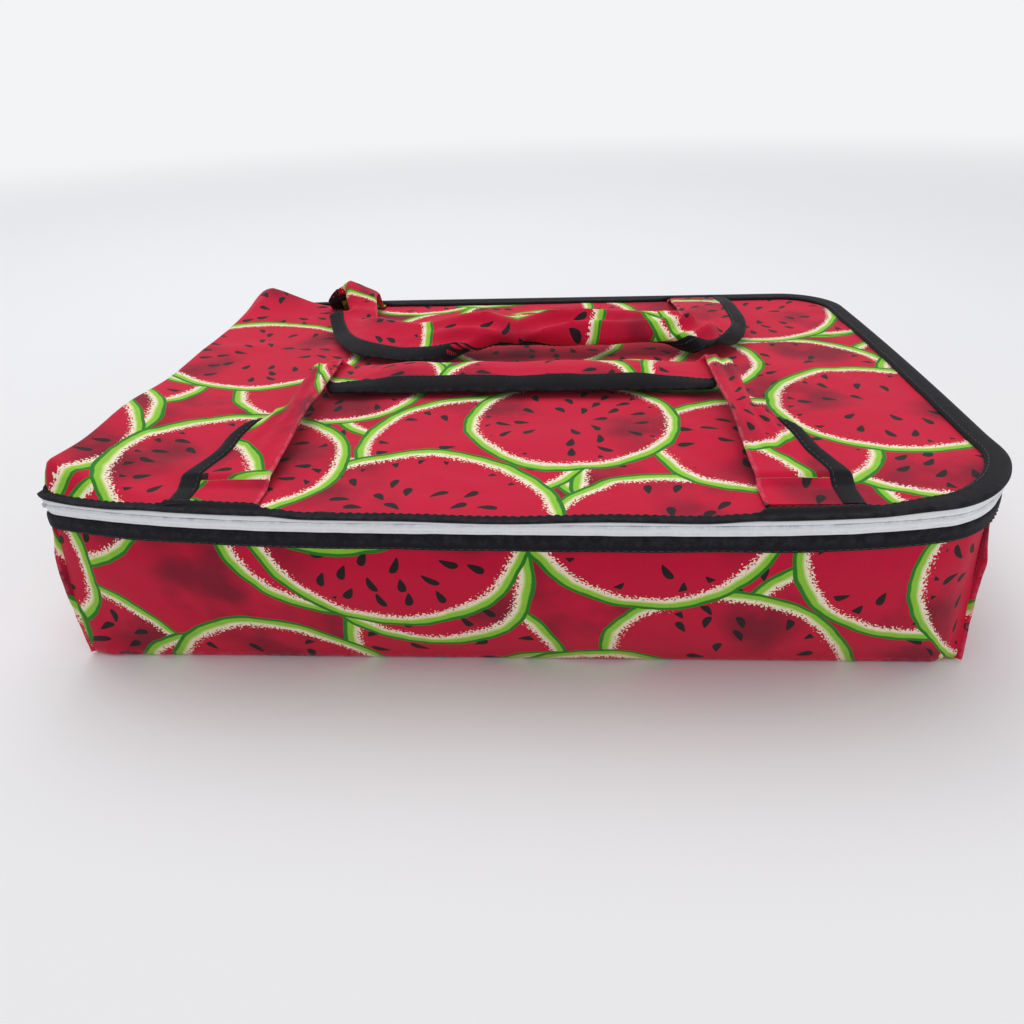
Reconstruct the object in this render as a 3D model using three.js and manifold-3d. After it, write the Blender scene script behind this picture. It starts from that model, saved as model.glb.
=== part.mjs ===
// A zip-round padded fabric carrier for an oblong casserole dish.
// Millimetres, +X right, +Y away from the viewer, +Z up, floor at Z = 0.
import * as THREE from 'three';
import { mergeVertices } from 'three/addons/utils/BufferGeometryUtils.js';
import Module from 'manifold-3d';

// The bag as a whole
const bodyWidth = 406;
const bodyDepth = 286;
const wallHeight = 78.8;
const cavityWallHeight = 80.9;
const frontBulge = 18;
const frontSkew = 4;
const sideBulge = 3;
const footCornerRadius = 16;
const frontCornerRadius = 38;
const backCornerRadius = 28;
const foldCornerRadius = 8;
const floorCornerRadius = 24;
const clearance = 0.3;
const layerGap = 0.5;

// Cloth, wadding and board
const outerCloth = 1.2;
const wadding = 5;
const lining = 1;
const boardThickness = 2.5;
const floorWadding = 4;

// Corner seams, bias binding and zip
const seamProud = 4;
const seamThickness = 1.6;
const seamSeat = 0.9;
const seamTopDrop = 7.6;
const bindingCloth = 1.2;
const rimBindingDrop = 7.1;
const lidBindingWidth = 12;
const lidBindingLip = 1.3;
const tapeThickness = 0.8;
const tapeHeight = 1.9;
const coilHeight = 1.5;
const coilProud = 1.4;
const coilDepth = 1.6;
const stopLength = 3;

// Straps
const strapWidth = 38;
const strapThickness = 3;
const strapSpan = 238;
const frontStrapReach = 118;
const backStrapReach = 101;
const strapFoldRadius = 3;
const strapInnerRadius = 6;
const strapArch = 5;
const strapEdgeWidth = 8;
const strapEdgeCloth = 0.8;
const strapTailThickness = 1;
const creaseSetback = 17;
const creaseRise = 2.6;
const strapRiseRun = 70;
const frontStrapShift = -4;
const backStrapShift = -7;
const creaseBulgeShare = 0.6;

// Slider and pull
const sliderLength = 11;
const sliderPlate = 1.8;
const sliderLip = 0.8;
const sliderStart = 15;
const archLength = 6.4;
const archWidth = 3.4;
const archFoot = 1;
const archGap = 2.2;
const archBar = 1.1;
const pullThickness = 1.2;
const pullLength = 24;
const pullWidth = 7.4;
const pullWindow = 4.6;
const pullSideGap = 0.4;

// How finely curves are divided
const frontCuts = 10;
const sideCuts = 7;
const rimCuts = 6;
const foldCuts = 2;
const wallRows = 7;
const straightShare = 1e-5;

const zipGround = wallHeight + clearance + bindingCloth + clearance;
const lowerCoilFoot = zipGround + tapeHeight + clearance;
const upperCoilFoot = lowerCoilFoot + coilHeight + clearance;
const upperTapeFoot = upperCoilFoot + coilHeight + clearance;
const zipTop = upperTapeFoot + tapeHeight;
const lidTop = zipTop;
const lidFoot = cavityWallHeight + clearance;
const waddingInset = outerCloth + layerGap;
const liningInset = waddingInset + wadding + layerGap;
const cavityInset = liningInset + lining;
const floorInset = cavityInset + clearance;
const halfWidth = bodyWidth / 2;
const halfDepth = bodyDepth / 2;

const colours = {
  print: 0xb8173c, lining: 0xe9e6de, wadding: 0xf2f0ea, binding: 0x17161b, zip: 0xe6edf2,
  coil: 0xd2dae2, metal: 0xb9bcc0, board: 0x8a8072,
};

// Corners run front left, front right, back right, back left, so the outline turns anticlockwise.
const cornerCuts = [foldCuts, rimCuts, rimCuts, foldCuts];
const edgeCuts = [frontCuts, sideCuts, frontCuts, sideCuts];

function cornerStations(index, radius, cuts) {
  const turn = Math.PI / 2;
  const sx = index === 1 || index === 2 ? 1 : -1;
  const sy = index > 1 ? 1 : -1;
  const points = [];
  for (let i = 0; i <= cuts; i += 1) {
    const angle = Math.PI + turn * (index + i / cuts);
    points.push([sx * (halfWidth - radius) + radius * Math.cos(angle),
      sy * (halfDepth - radius) + radius * Math.sin(angle)]);
  }
  return points;
}

function rawOutline(radii) {
  const outline = [];
  for (let corner = 0; corner < 4; corner += 1) {
    outline.push(...cornerStations(corner, radii[corner], cornerCuts[corner]));
    const last = outline[outline.length - 1];
    const next = cornerStations((corner + 1) % 4, radii[(corner + 1) % 4], 1)[0];
    for (let i = 1; i < edgeCuts[corner]; i += 1) {
      const share = i / edgeCuts[corner];
      outline.push([last[0] + (next[0] - last[0]) * share, last[1] + (next[1] - last[1]) * share]);
    }
  }
  return outline;
}

// Stations at the middle of each corner, where the upright seams run.
const cornerStart = [0, 1, 2, 3].map((corner) => {
  let start = 0;
  for (let i = 0; i < corner; i += 1) start += cornerCuts[i] + edgeCuts[i];
  return start;
});
const cornerMiddle = cornerStart.map((start, corner) => start + cornerCuts[corner] / 2);
const stationCount = cornerStart[3] + cornerCuts[3] + edgeCuts[3];
const footOutline = rawOutline([footCornerRadius, footCornerRadius, footCornerRadius, footCornerRadius]);
const rimOutline = rawOutline([foldCornerRadius, frontCornerRadius, backCornerRadius, foldCornerRadius])
  .map(([x, y], station) => {
    const front = station < cornerStart[1] + cornerCuts[1] && y < 0;
    const right = station >= cornerStart[1] && station <= cornerMiddle[2] + cornerCuts[2] && x > 0;
    const side = x / halfWidth;
    const bulgeY = front ? (frontBulge + frontSkew * side) * (1 - side ** 4) : 0;
    const bulgeX = right ? sideBulge * (1 - (y / halfDepth) ** 2) : 0;
    return [x + bulgeX, y - bulgeY];
  });

// The wall swells from its foot to the rim and stands upright above it.
function levelOutline(z) {
  const share = Math.sin(Math.min(1, z / wallHeight) * Math.PI / 2);
  return footOutline.map(([x, y], i) => [x + (rimOutline[i][0] - x) * share,
    y + (rimOutline[i][1] - y) * share]);
}

function insetOutline(outline, inset) {
  const count = outline.length;
  return outline.map((point, i) => {
    const before = outline[(i + count - 1) % count];
    const after = outline[(i + 1) % count];
    const a = new THREE.Vector2(point[1] - before[1], before[0] - point[0]).normalize();
    const b = new THREE.Vector2(after[1] - point[1], point[0] - after[0]).normalize();
    const mitre = 1 / (1 + a.dot(b));
    return [point[0] - (a.x + b.x) * mitre * inset, point[1] - (a.y + b.y) * mitre * inset];
  });
}

// A point of the bag's skin: station along the outline, inset from the outer face, height.
function skinPoint(station, inset, z) {
  const outline = insetOutline(levelOutline(z), inset);
  const low = Math.floor(station);
  const share = station - low;
  const a = outline[((low % stationCount) + stationCount) % stationCount];
  const b = outline[(((low + 1) % stationCount) + stationCount) % stationCount];
  return new THREE.Vector3(a[0] + (b[0] - a[0]) * share, a[1] + (b[1] - a[1]) * share, z);
}

function solidVolume(points, faces) {
  let sum = 0;
  for (const [a, b, c] of faces) sum += points[a].dot(points[b].clone().cross(points[c])) / 6;
  return sum;
}

function addMesh(group, name, geometry, colour, roughness, metalness) {
  const material = new THREE.MeshStandardMaterial({ color: colour, roughness, metalness });
  const mesh = new THREE.Mesh(geometry, material);
  mesh.name = name;
  group.add(mesh);
}

function addSolid(group, name, points, faces, colour, roughness = 0.85, metalness = 0) {
  const outward = solidVolume(points, faces) > 0;
  const flat = [];
  for (const face of faces) {
    const order = outward ? face : [face[0], face[2], face[1]];
    for (const index of order) flat.push(points[index].x, points[index].y, points[index].z);
  }
  const geometry = new THREE.BufferGeometry();
  geometry.setAttribute('position', new THREE.Float32BufferAttribute(flat, 3));
  geometry.computeVertexNormals();
  addMesh(group, name, geometry, colour, roughness, metalness);
}

// The triangles that close a section. A strip's section is two facing rows of points, its
// first half against its second half.
function capTriangles(section) {
  const isStrip = [0, 1].some((axis) => new Set(section.map((point) => point[axis])).size === 2);
  if (isStrip) {
    const last = section.length - 1;
    const rows = [];
    for (let i = 0; i < section.length / 2 - 1; i += 1) {
      rows.push([i, i + 1, last - i], [i + 1, last - i - 1, last - i]);
    }
    return rows;
  }
  const outline = section.map(([u, v]) => new THREE.Vector2(u, v));
  const triangles = THREE.ShapeUtils.triangulateShape(outline, []);
  const [a, b, c] = triangles[0].map((index) => outline[index]);
  const turns = (THREE.ShapeUtils.area([a, b, c]) > 0) === (THREE.ShapeUtils.area(outline) > 0);
  return turns ? triangles : triangles.map(([i, j, k]) => [i, k, j]);
}

// Rings of points, one per station, joined into a closed solid with capped ends.
function addSweep(group, name, rings, section, colour, roughness, metalness) {
  const size = section.length;
  const points = rings.flat();
  const faces = [];
  for (let ring = 0; ring < rings.length - 1; ring += 1) {
    for (let i = 0; i < size; i += 1) {
      const a = ring * size + i;
      const b = ring * size + (i + 1) % size;
      const rises = section[(i + 1) % size][1] >= section[i][1];
      if (rises) faces.push([a, b, b + size], [a, b + size, a + size]);
      else faces.push([a, b, a + size], [b, b + size, a + size]);
    }
  }
  const last = (rings.length - 1) * size;
  for (const [a, b, c] of capTriangles(section)) {
    faces.push([a, c, b], [last + a, last + b, last + c]);
  }
  addSolid(group, name, points, faces, colour, roughness, metalness);
}

// Stations between two ends, each end drawn back by a length along the outline.
function stationsBetween(first, last, setback) {
  const z = wallHeight;
  const start = first + setback / skinPoint(Math.floor(first), 0, z)
    .distanceTo(skinPoint(Math.floor(first) + 1, 0, z));
  const end = last - setback / skinPoint(Math.ceil(last), 0, z)
    .distanceTo(skinPoint(Math.ceil(last) - 1, 0, z));
  const stations = [start];
  for (let i = Math.floor(start) + 1; i < end; i += 1) stations.push(i);
  stations.push(end);
  return stations;
}

// A section of inset and height drawn round the bag's outline.
function addRound(group, name, stations, section, colour, roughness, metalness) {
  const rings = stations.map((station) => section.map(([inset, z]) => skinPoint(station, inset, z)));
  addSweep(group, name, rings, section, colour, roughness, metalness);
}

// Every layer of a wall is divided at the same heights, so that they nest.
function wallHeights(top) {
  const foot = outerCloth + clearance;
  const heights = [];
  for (let row = 0; row <= wallRows; row += 1) {
    const z = foot + (wallHeight - foot) * row / wallRows;
    if (z < top) heights.push(z);
  }
  return [...heights, top];
}

function wallSection(outer, inner, top) {
  const heights = wallHeights(top);
  return [...heights.map((z) => [outer, z]), ...heights.reverse().map((z) => [inner, z])];
}

function withoutStraightPoints(outline) {
  const count = outline.length;
  return outline.filter((point, i) => {
    const before = outline[(i + count - 1) % count];
    const after = outline[(i + 1) % count];
    const turn = (point[0] - before[0]) * (after[1] - point[1])
      - (point[1] - before[1]) * (after[0] - point[0]);
    const reach = Math.hypot(after[0] - before[0], after[1] - before[1]);
    return Math.abs(turn) > straightShare * reach * reach;
  });
}

function addPlate(group, name, outline, foot, top, colour) {
  const section = withoutStraightPoints(outline);
  const rings = [foot, top].map((z) => section.map(([x, y]) => new THREE.Vector3(x, y, z)));
  addSweep(group, name, rings, section, colour);
}

function addWalls(group) {
  const sides = ['front', 'right', 'back', 'left'];
  const layers = [
    ['outer_panel', 0, outerCloth, wallHeight, colours.print],
    ['wadding', waddingInset, waddingInset + wadding, cavityWallHeight, colours.wadding],
    ['lining', liningInset, cavityInset, cavityWallHeight, colours.lining],
  ];
  sides.forEach((side, i) => {
    const last = i === 3 ? cornerMiddle[0] + stationCount : cornerMiddle[i + 1];
    const stations = stationsBetween(cornerMiddle[i], last, clearance);
    for (const [layer, outer, inner, top, colour] of layers) {
      const height = layer === 'outer_panel' && side === 'left' ? cavityWallHeight : top;
      const section = wallSection(outer, inner, height);
      addRound(group, `${side}_wall_${layer}`, stations, section, colour);
    }
  });
}

function addFloor(group) {
  const foot = levelOutline(0);
  const floorLine = insetOutline(rawOutline([floorCornerRadius, floorCornerRadius, floorCornerRadius,
    floorCornerRadius]), floorInset);
  let level = 0;
  addPlate(group, 'bottom_outer_panel', foot, level, outerCloth, colours.print);
  level = outerCloth + clearance;
  for (const [name, thickness, colour] of [['base_stiffener_board', boardThickness, colours.board],
    ['floor_wadding', floorWadding, colours.wadding], ['floor_lining', lining, colours.lining]]) {
    addPlate(group, name, floorLine, level, level + thickness, colour);
    level += thickness + clearance;
  }
}

// The pinched seam allowance that stands out along each upright corner.
function addCornerSeams(group) {
  const names = ['front_left', 'front_right', 'back_right', 'back_left'];
  cornerMiddle.forEach((station, i) => {
    const rings = [];
    for (const z of wallHeights(wallHeight - seamTopDrop)) {
      const inner = skinPoint(station, -seamSeat, z);
      const outer = skinPoint(station, -seamSeat - seamProud, z);
      const along = skinPoint(station + 1, 0, z).sub(skinPoint(station - 1, 0, z)).normalize();
      const half = along.multiplyScalar(seamThickness / 2);
      rings.push([inner.clone().sub(half), outer.clone().sub(half), outer.clone().add(half),
        inner.clone().add(half)]);
    }
    addSweep(group, `${names[i]}_corner_seam`, rings, [[0, 0], [1, 0], [1, 1], [0, 1]], colours.print);
  });
}

// The zip and its bindings run from the front left corner round the right side to the back left.
const zipStations = stationsBetween(cornerMiddle[0], cornerMiddle[3], clearance);
const coilStations = stationsBetween(cornerMiddle[0], cornerMiddle[3], stopLength + 2 * clearance);

function rectangle(outer, inner, foot, top) {
  return [[outer, foot], [inner, foot], [inner, top], [outer, top]];
}

function addRimAndLowerZip(group) {
  const outside = -clearance - bindingCloth;
  const rimTop = wallHeight + clearance + bindingCloth;
  addRound(group, 'body_rim_binding', zipStations, [
    [outside, wallHeight - rimBindingDrop], [-clearance, wallHeight - rimBindingDrop],
    [-clearance, wallHeight + clearance], [outerCloth, wallHeight + clearance],
    [outerCloth, rimTop], [outside, rimTop]], colours.binding, 0.9);
  addRound(group, 'lower_zip_tape', zipStations,
    rectangle(-tapeThickness, 0, zipGround, zipGround + tapeHeight), colours.zip, 0.7);
  addRound(group, 'lower_zip_coil', coilStations,
    rectangle(-coilProud, coilDepth - coilProud, lowerCoilFoot, lowerCoilFoot + coilHeight),
    colours.coil, 0.5);
}

function addUpperZip(group) {
  addRound(group, 'upper_zip_tape', zipStations,
    rectangle(-tapeThickness, 0, upperTapeFoot, zipTop), colours.zip, 0.7);
  addRound(group, 'upper_zip_coil', coilStations,
    rectangle(-coilProud, coilDepth - coilProud, upperCoilFoot, upperCoilFoot + coilHeight),
    colours.coil, 0.5);
}

// A crimped stop closes each end of the lower coil.
function addZipStops(group) {
  const stops = stationsBetween(cornerMiddle[0], cornerMiddle[3], stopLength + clearance);
  const ends = [['front_zip_stop', [zipStations[0], stops[0]]],
    ['back_zip_stop', [stops[stops.length - 1], zipStations[zipStations.length - 1]]]];
  for (const [name, stations] of ends) {
    addRound(group, name, stations,
      rectangle(-coilProud, coilDepth - coilProud, lowerCoilFoot, lowerCoilFoot + coilHeight),
      colours.metal, 0.35, 0.9);
  }
}

// Lid layers stop short of the fold strip that closes the hinge side.
function lidOutline(inset) {
  const outline = insetOutline(levelOutline(wallHeight), inset);
  const stripInside = -halfWidth + outerCloth + clearance;
  return outline.map(([x, y]) => [Math.max(x, stripInside + Math.max(0, inset - clearance)), y]);
}

function addLid(group) {
  const liningTop = lidFoot + lining;
  const waddingTop = lidTop - outerCloth - clearance;
  addPlate(group, 'lid_lining', lidOutline(waddingInset), lidFoot, liningTop, colours.lining);
  addPlate(group, 'lid_wadding', lidOutline(waddingInset), liningTop + clearance, waddingTop,
    colours.wadding);
  addPlate(group, 'lid_outer_panel', lidOutline(clearance), waddingTop + clearance, lidTop,
    colours.print);
  const last = cornerStart[0] + stationCount;
  addRound(group, 'hinge_fold_strip', stationsBetween(cornerStart[3] + cornerCuts[3], last, 0),
    rectangle(0, outerCloth, lidFoot, lidTop), colours.print);
  const outside = -tapeThickness - clearance - bindingCloth;
  addRound(group, 'lid_binding', zipStations, [
    [outside, lidTop - lidBindingLip], [-tapeThickness - clearance, lidTop - lidBindingLip],
    [-tapeThickness - clearance, lidTop + clearance], [lidBindingWidth, lidTop + clearance],
    [lidBindingWidth, lidTop + clearance + bindingCloth],
    [outside, lidTop + clearance + bindingCloth]], colours.binding, 0.9);
}

// Straps: w runs across the cloth from its bound edge, s along it from the crease,
// h out of its face. The front strap turns each corner by folding under itself at 45 degrees,
// the back strap by bending flat.
const creaseHeight = lidTop + clearance + strapTailThickness + creaseRise;
const strapHalf = strapWidth / 2;
const creaseGap = strapThickness / 2 + clearance;
const edgeReach = strapThickness / 2 + layerGap + strapEdgeCloth;
const gripHeight = lidTop + clearance + edgeReach;
const bendRadius = strapInnerRadius + strapHalf;
const bendLength = bendRadius * Math.PI / 2;

function strapHalfLength(strap) {
  return strap.reach + strapSpan / 2 - (strap.folds ? 0 : 2 * bendRadius - bendLength);
}

function foldedPoint(strap, w, run, h) {
  const quarter = Math.PI * strapFoldRadius / 2;
  const along = (run - strap.reach + w) / Math.SQRT2;
  const across = (run - strap.reach - w) / Math.SQRT2;
  const angle = Math.max(-Math.PI / 2, Math.min(Math.PI / 2, across / strapFoldRadius));
  const flat = Math.abs(across) > quarter ? -(Math.abs(across) - quarter) : 0;
  const out = Math.cos(angle) * (strapFoldRadius + h) + flat - quarter;
  const y = strap.reach + (along + out) / Math.SQRT2;
  const rise = THREE.MathUtils.smoothstep(y, 0, strapRiseRun);
  const low = creaseHeight - strapFoldRadius;
  const middle = low + (gripHeight + strapFoldRadius - low) * rise;
  return [-strapSpan / 2 + (along - out) / Math.SQRT2, y,
    middle - Math.sin(angle) * (strapFoldRadius + h)];
}

function bentPoint(strap, w, run, h) {
  const bendStart = strap.reach - bendRadius;
  const turned = Math.max(0, Math.min(Math.PI / 2, (run - bendStart) / bendRadius));
  const past = Math.max(0, run - bendStart - bendLength);
  const x = -strapSpan / 2 + bendRadius - (bendRadius - w) * Math.cos(turned) + past;
  const y = Math.min(run, bendStart) + (bendRadius - w) * Math.sin(turned);
  const share = THREE.MathUtils.clamp(y / strap.reach, 0, 1);
  const arch = strapArch * Math.sin(Math.PI * share);
  return [x, y, creaseHeight + (gripHeight - creaseHeight) * share + arch + h];
}

function strapPoint(strap, w, s, h) {
  const half = strapHalfLength(strap);
  const run = s > half ? 2 * half - s : s;
  const [x, y, z] = (strap.folds ? foldedPoint : bentPoint)(strap, w, run, h);
  return new THREE.Vector3(strap.shift + (s > half ? -x : x), strap.crease + strap.way * y, z);
}

// Stations along a strap, each a distance and how far its line slants across the cloth.
function strapStations(strap) {
  const half = strapHalfLength(strap);
  const before = strap.reach - (strap.folds ? strapWidth : bendRadius);
  const after = strap.folds ? strap.reach + strapWidth : before + bendLength;
  const foldRun = Math.PI * strapFoldRadius / Math.SQRT2;
  const stations = [0, 0.35, 0.7, 1].map((share) => [creaseGap + (before - creaseGap) * share, 0]);
  for (const share of [-1, -0.7, -0.35, 0, 0.35, 0.7, 1]) {
    if (strap.folds) stations.push([strap.reach + foldRun * share, 1]);
    else if (share > -1) stations.push([before + bendLength * (share + 1) / 2, 0]);
  }
  for (const share of strap.folds ? [0, 0.5] : [0.5]) stations.push([after + (half - after) * share, 0]);
  const mirrored = stations.map(([s, slant]) => [2 * half - s, -slant]).reverse();
  return [...stations, [half, 0], ...mirrored];
}

function addStrapPart(group, name, strap, section, colour) {
  const rings = strapStations(strap).map(([s, slant]) =>
    section.map(([w, h]) => strapPoint(strap, w, s + slant * w, h)));
  addSweep(group, name, rings, section, colour, 0.9);
}

function addStrap(group, strap) {
  const widths = [-1, -0.5, 0, 0.5, 1].map((share) => share * strapHalf);
  const face = strapThickness / 2;
  const strapSection = [...widths.map((w) => [w, -face]), ...widths.reverse().map((w) => [w, face])];
  addStrapPart(group, `${strap.name}_strap`, strap, strapSection, colours.print);
  const under = face + layerGap;
  const edge = -strapHalf - layerGap;
  const inner = -strapHalf + strapEdgeWidth;
  addStrapPart(group, `${strap.name}_strap_binding`, strap, [
    [inner, under], [inner, edgeReach], [edge - strapEdgeCloth, edgeReach],
    [edge - strapEdgeCloth, -edgeReach], [inner, -edgeReach], [inner, -under],
    [edge, -under], [edge, under]], colours.binding);
}

// The sewn-down ends lie on the lid between its binding and the crease.
function seamDistance(x, way) {
  const outline = insetOutline(levelOutline(wallHeight), lidBindingWidth + clearance);
  for (let i = 0; i < stationCount; i += 1) {
    const a = outline[i];
    const b = outline[(i + 1) % stationCount];
    const share = (x - a[0]) / (b[0] - a[0]);
    if (share >= 0 && share <= 1 && way * a[1] > 0 && way * b[1] > 0) {
      return a[1] + (b[1] - a[1]) * share;
    }
  }
  return way * halfDepth;
}

function addStrapTails(group, strap) {
  for (const [side, sign] of [['left', -1], ['right', 1]]) {
    const middle = strap.shift + sign * strapSpan / 2;
    const creaseEdge = strap.crease - strap.way * creaseGap;
    const left = middle - strapHalf;
    const right = middle + strapHalf;
    const outline = [[left, seamDistance(left, -strap.way)], [right, seamDistance(right, -strap.way)],
      [right, creaseEdge], [left, creaseEdge]];
    const foot = lidTop + clearance;
    addPlate(group, `${strap.name}_strap_${side}_tail`, outline, foot, foot + strapTailThickness,
      colours.print);
  }
}

const sliderX = -halfWidth + sliderStart;
const sliderZ = (lowerCoilFoot + coilHeight + upperCoilFoot) / 2;
const sliderFoot = lowerCoilFoot - clearance - sliderLip;
const sliderTop = upperCoilFoot + coilHeight + clearance;
const sliderBack = halfDepth + coilProud + clearance;
const pullPivotY = sliderBack + sliderPlate + archGap / 2;

function joinSolids(wasm, geometries) {
  const solids = geometries.map((geometry) => {
    geometry.deleteAttribute('normal');
    geometry.deleteAttribute('uv');
    const merged = mergeVertices(geometry);
    return new wasm.Manifold(new wasm.Mesh({
      numProp: 3,
      vertProperties: new Float32Array(merged.attributes.position.array),
      triVerts: new Uint32Array(merged.index.array),
    }));
  });
  return solids.reduce((whole, solid) => whole.add(solid)).getMesh();
}

function boxGeometry(low, high) {
  const size = high.map((value, i) => value - low[i]);
  const middle = high.map((value, i) => (value + low[i]) / 2);
  return new THREE.BoxGeometry(...size).translate(...middle);
}

// The slider is one casting: a plate over the coils, a lip below them and an arch for the pull.
function addSlider(group, wasm) {
  const plateBack = sliderBack + sliderPlate;
  const archInner = plateBack + archGap;
  const left = sliderX - sliderLength / 2;
  const right = sliderX + sliderLength / 2;
  const halfArch = archWidth / 2;
  const pieces = [
    boxGeometry([left, sliderBack, sliderFoot], [right, plateBack, sliderTop]),
    boxGeometry([left, sliderBack - coilProud + tapeThickness, sliderFoot],
      [right, plateBack, sliderFoot + sliderLip]),
    boxGeometry([sliderX - archLength / 2, archInner, sliderZ - halfArch],
      [sliderX + archLength / 2, archInner + archBar, sliderZ + halfArch]),
  ];
  for (const side of [-1, 1]) {
    const near = sliderX + side * archLength / 2;
    const far = near - side * archFoot;
    pieces.push(boxGeometry([Math.min(near, far), plateBack - archFoot / 2, sliderZ - halfArch],
      [Math.max(near, far), archInner + archBar / 2, sliderZ + halfArch]));
  }
  const mesh = joinSolids(wasm, pieces);
  const points = [];
  for (let i = 0; i < mesh.vertProperties.length; i += mesh.numProp) {
    points.push(new THREE.Vector3(...mesh.vertProperties.slice(i, i + 3)));
  }
  const faces = [];
  for (let i = 0; i < mesh.triVerts.length; i += 3) faces.push([...mesh.triVerts.slice(i, i + 3)]);
  addSolid(group, 'zip_slider', points, faces, colours.metal, 0.35, 0.9);
}

// The pull is a stamped tab whose end bar turns inside the slider's arch.
function addPull(group) {
  const bar = pullThickness / 2;
  const halfWindow = archWidth / 2 + pullSideGap;
  const half = pullWidth / 2;
  const tip = half / 2;
  const toPoints = (outline) => outline.map(([x, z]) => new THREE.Vector2(x, z));
  const shape = new THREE.Shape(toPoints([[-bar, -half], [pullLength - tip, -half],
    [pullLength, -tip], [pullLength, tip], [pullLength - tip, half], [-bar, half]]));
  shape.holes.push(new THREE.Path(toPoints([[bar, -halfWindow], [bar + pullWindow, -halfWindow],
    [bar + pullWindow, halfWindow], [bar, halfWindow]])));
  const geometry = new THREE.ExtrudeGeometry(shape, { depth: pullThickness, bevelEnabled: false });
  geometry.rotateX(Math.PI / 2).translate(sliderX, pullPivotY + bar, sliderZ);
  addMesh(group, 'zip_pull_tab', geometry, colours.metal, 0.35, 0.9);
}

const straps = [
  { name: 'front', way: 1, folds: true, reach: frontStrapReach, shift: frontStrapShift,
    crease: -halfDepth - frontBulge * creaseBulgeShare + creaseSetback },
  { name: 'back', way: -1, folds: false, reach: backStrapReach, shift: backStrapShift,
    crease: halfDepth - creaseSetback },
];

const wasm = await Module();
wasm.setup();
const carrier = new THREE.Group();
addFloor(carrier);
addWalls(carrier);
addCornerSeams(carrier);
addRimAndLowerZip(carrier);
addZipStops(carrier);
addLid(carrier);
addUpperZip(carrier);
for (const strap of straps) {
  addStrapTails(carrier, strap);
  addStrap(carrier, strap);
}
addSlider(carrier, wasm);
addPull(carrier);

// The origin lies under the middle of the whole part.
const whole = new THREE.Box3().setFromObject(carrier);
const middle = whole.getCenter(new THREE.Vector3());
for (const mesh of carrier.children) mesh.geometry.translate(-middle.x, -middle.y, -whole.min.z);

export default carrier;
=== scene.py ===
"""Looks of a zip-round padded casserole carrier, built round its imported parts.

Metres, +X right, +Y away from the viewer, +Z up, floor at Z = 0.
"""
import logging
from dataclasses import dataclass
from enum import Enum
from functools import cached_property
from math import cos, exp, hypot, pi, radians, sin, sqrt
from typing import Callable, Sequence

import bmesh
import bpy
import numpy as np
from mathutils import Matrix, Vector


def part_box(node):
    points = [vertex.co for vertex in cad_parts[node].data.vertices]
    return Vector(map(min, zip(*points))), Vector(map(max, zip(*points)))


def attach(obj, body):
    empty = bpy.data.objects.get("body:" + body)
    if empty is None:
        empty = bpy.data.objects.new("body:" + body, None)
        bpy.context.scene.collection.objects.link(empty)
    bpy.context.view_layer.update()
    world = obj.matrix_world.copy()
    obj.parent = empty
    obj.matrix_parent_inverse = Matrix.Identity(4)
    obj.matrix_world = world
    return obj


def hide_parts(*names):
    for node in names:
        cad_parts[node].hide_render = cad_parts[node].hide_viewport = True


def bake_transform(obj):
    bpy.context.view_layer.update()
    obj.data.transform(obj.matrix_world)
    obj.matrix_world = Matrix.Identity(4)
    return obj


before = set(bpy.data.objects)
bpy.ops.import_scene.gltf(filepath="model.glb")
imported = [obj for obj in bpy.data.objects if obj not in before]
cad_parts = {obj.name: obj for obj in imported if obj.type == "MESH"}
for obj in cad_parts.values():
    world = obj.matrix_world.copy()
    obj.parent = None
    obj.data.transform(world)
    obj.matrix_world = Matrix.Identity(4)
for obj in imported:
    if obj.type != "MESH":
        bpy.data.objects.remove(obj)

log = logging.getLogger("carrier")
Array = np.ndarray
Colour = tuple[float, float, float]
Piece = bpy.types.Object
Tree = bpy.types.NodeTree
Socket = bpy.types.NodeSocket


class Body(Enum):
    """The bodies that pieces move with."""

    BASE = "base"
    LID = "lid"
    FRONT_STRAP = "front_handle"
    BACK_STRAP = "back_handle"
    SLIDER = "slider"
    PULL = "pull_tab"


class Slot(Enum):
    """The material slots of the record."""

    PRINT = "printed_cotton"
    BINDING = "black_binding"
    LINING = "lining_cloth"
    WADDING = "wadding"
    BOARD = "stiffener_board"
    TAPE = "zip_tape"
    COIL = "zip_coil"
    METAL = "zip_metal"


Look = tuple[bpy.types.Material, Slot]


def linear(red: int, green: int, blue: int) -> Colour:
    """Turn a display colour into a linear one."""
    shares = (c / 255 for c in (red, green, blue))
    return tuple(s / 12.92 if s <= 0.04045 else ((s + 0.055) / 1.055) ** 2.4 for s in shares)


def smoothstep(low: float, high: float, value: Array | float) -> Array | float:
    """Rise smoothly from 0 at low to 1 at high."""
    t = np.clip((value - low) / (high - low), 0.0, 1.0)
    return t * t * (3 - 2 * t)


def ripple(place: Array | float, wave: float, seed: int) -> Array | float:
    """Uneven waves along a line, between about -1 and 1.

    Args:
        place: Distance along the line.
        wave: Typical wavelength.
        seed: Chooses the pattern.

    Returns:
        The height of the waves.
    """
    rng = np.random.default_rng(seed)
    total = np.zeros_like(np.asarray(place, float))
    for stretch in (0.62, 1.0, 1.37, 2.1):
        phase = rng.uniform(0, 2 * pi)
        total = total + np.sin(place * 2 * pi / (wave * stretch) + phase) * 0.3
    return total


def eased(place: Array | float, line: Sequence[tuple[float, float]]) -> Array:
    """Values that pass smoothly from one point of a line to the next.

    Args:
        place: Where the values are wanted.
        line: Places in rising order, each with its value.

    Returns:
        The values.
    """
    value = np.full(np.shape(place), line[0][1], float)
    for (low, before), (high, after) in zip(line, line[1:]):
        value = value + (after - before) * smoothstep(low, high, place)
    return value


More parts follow.
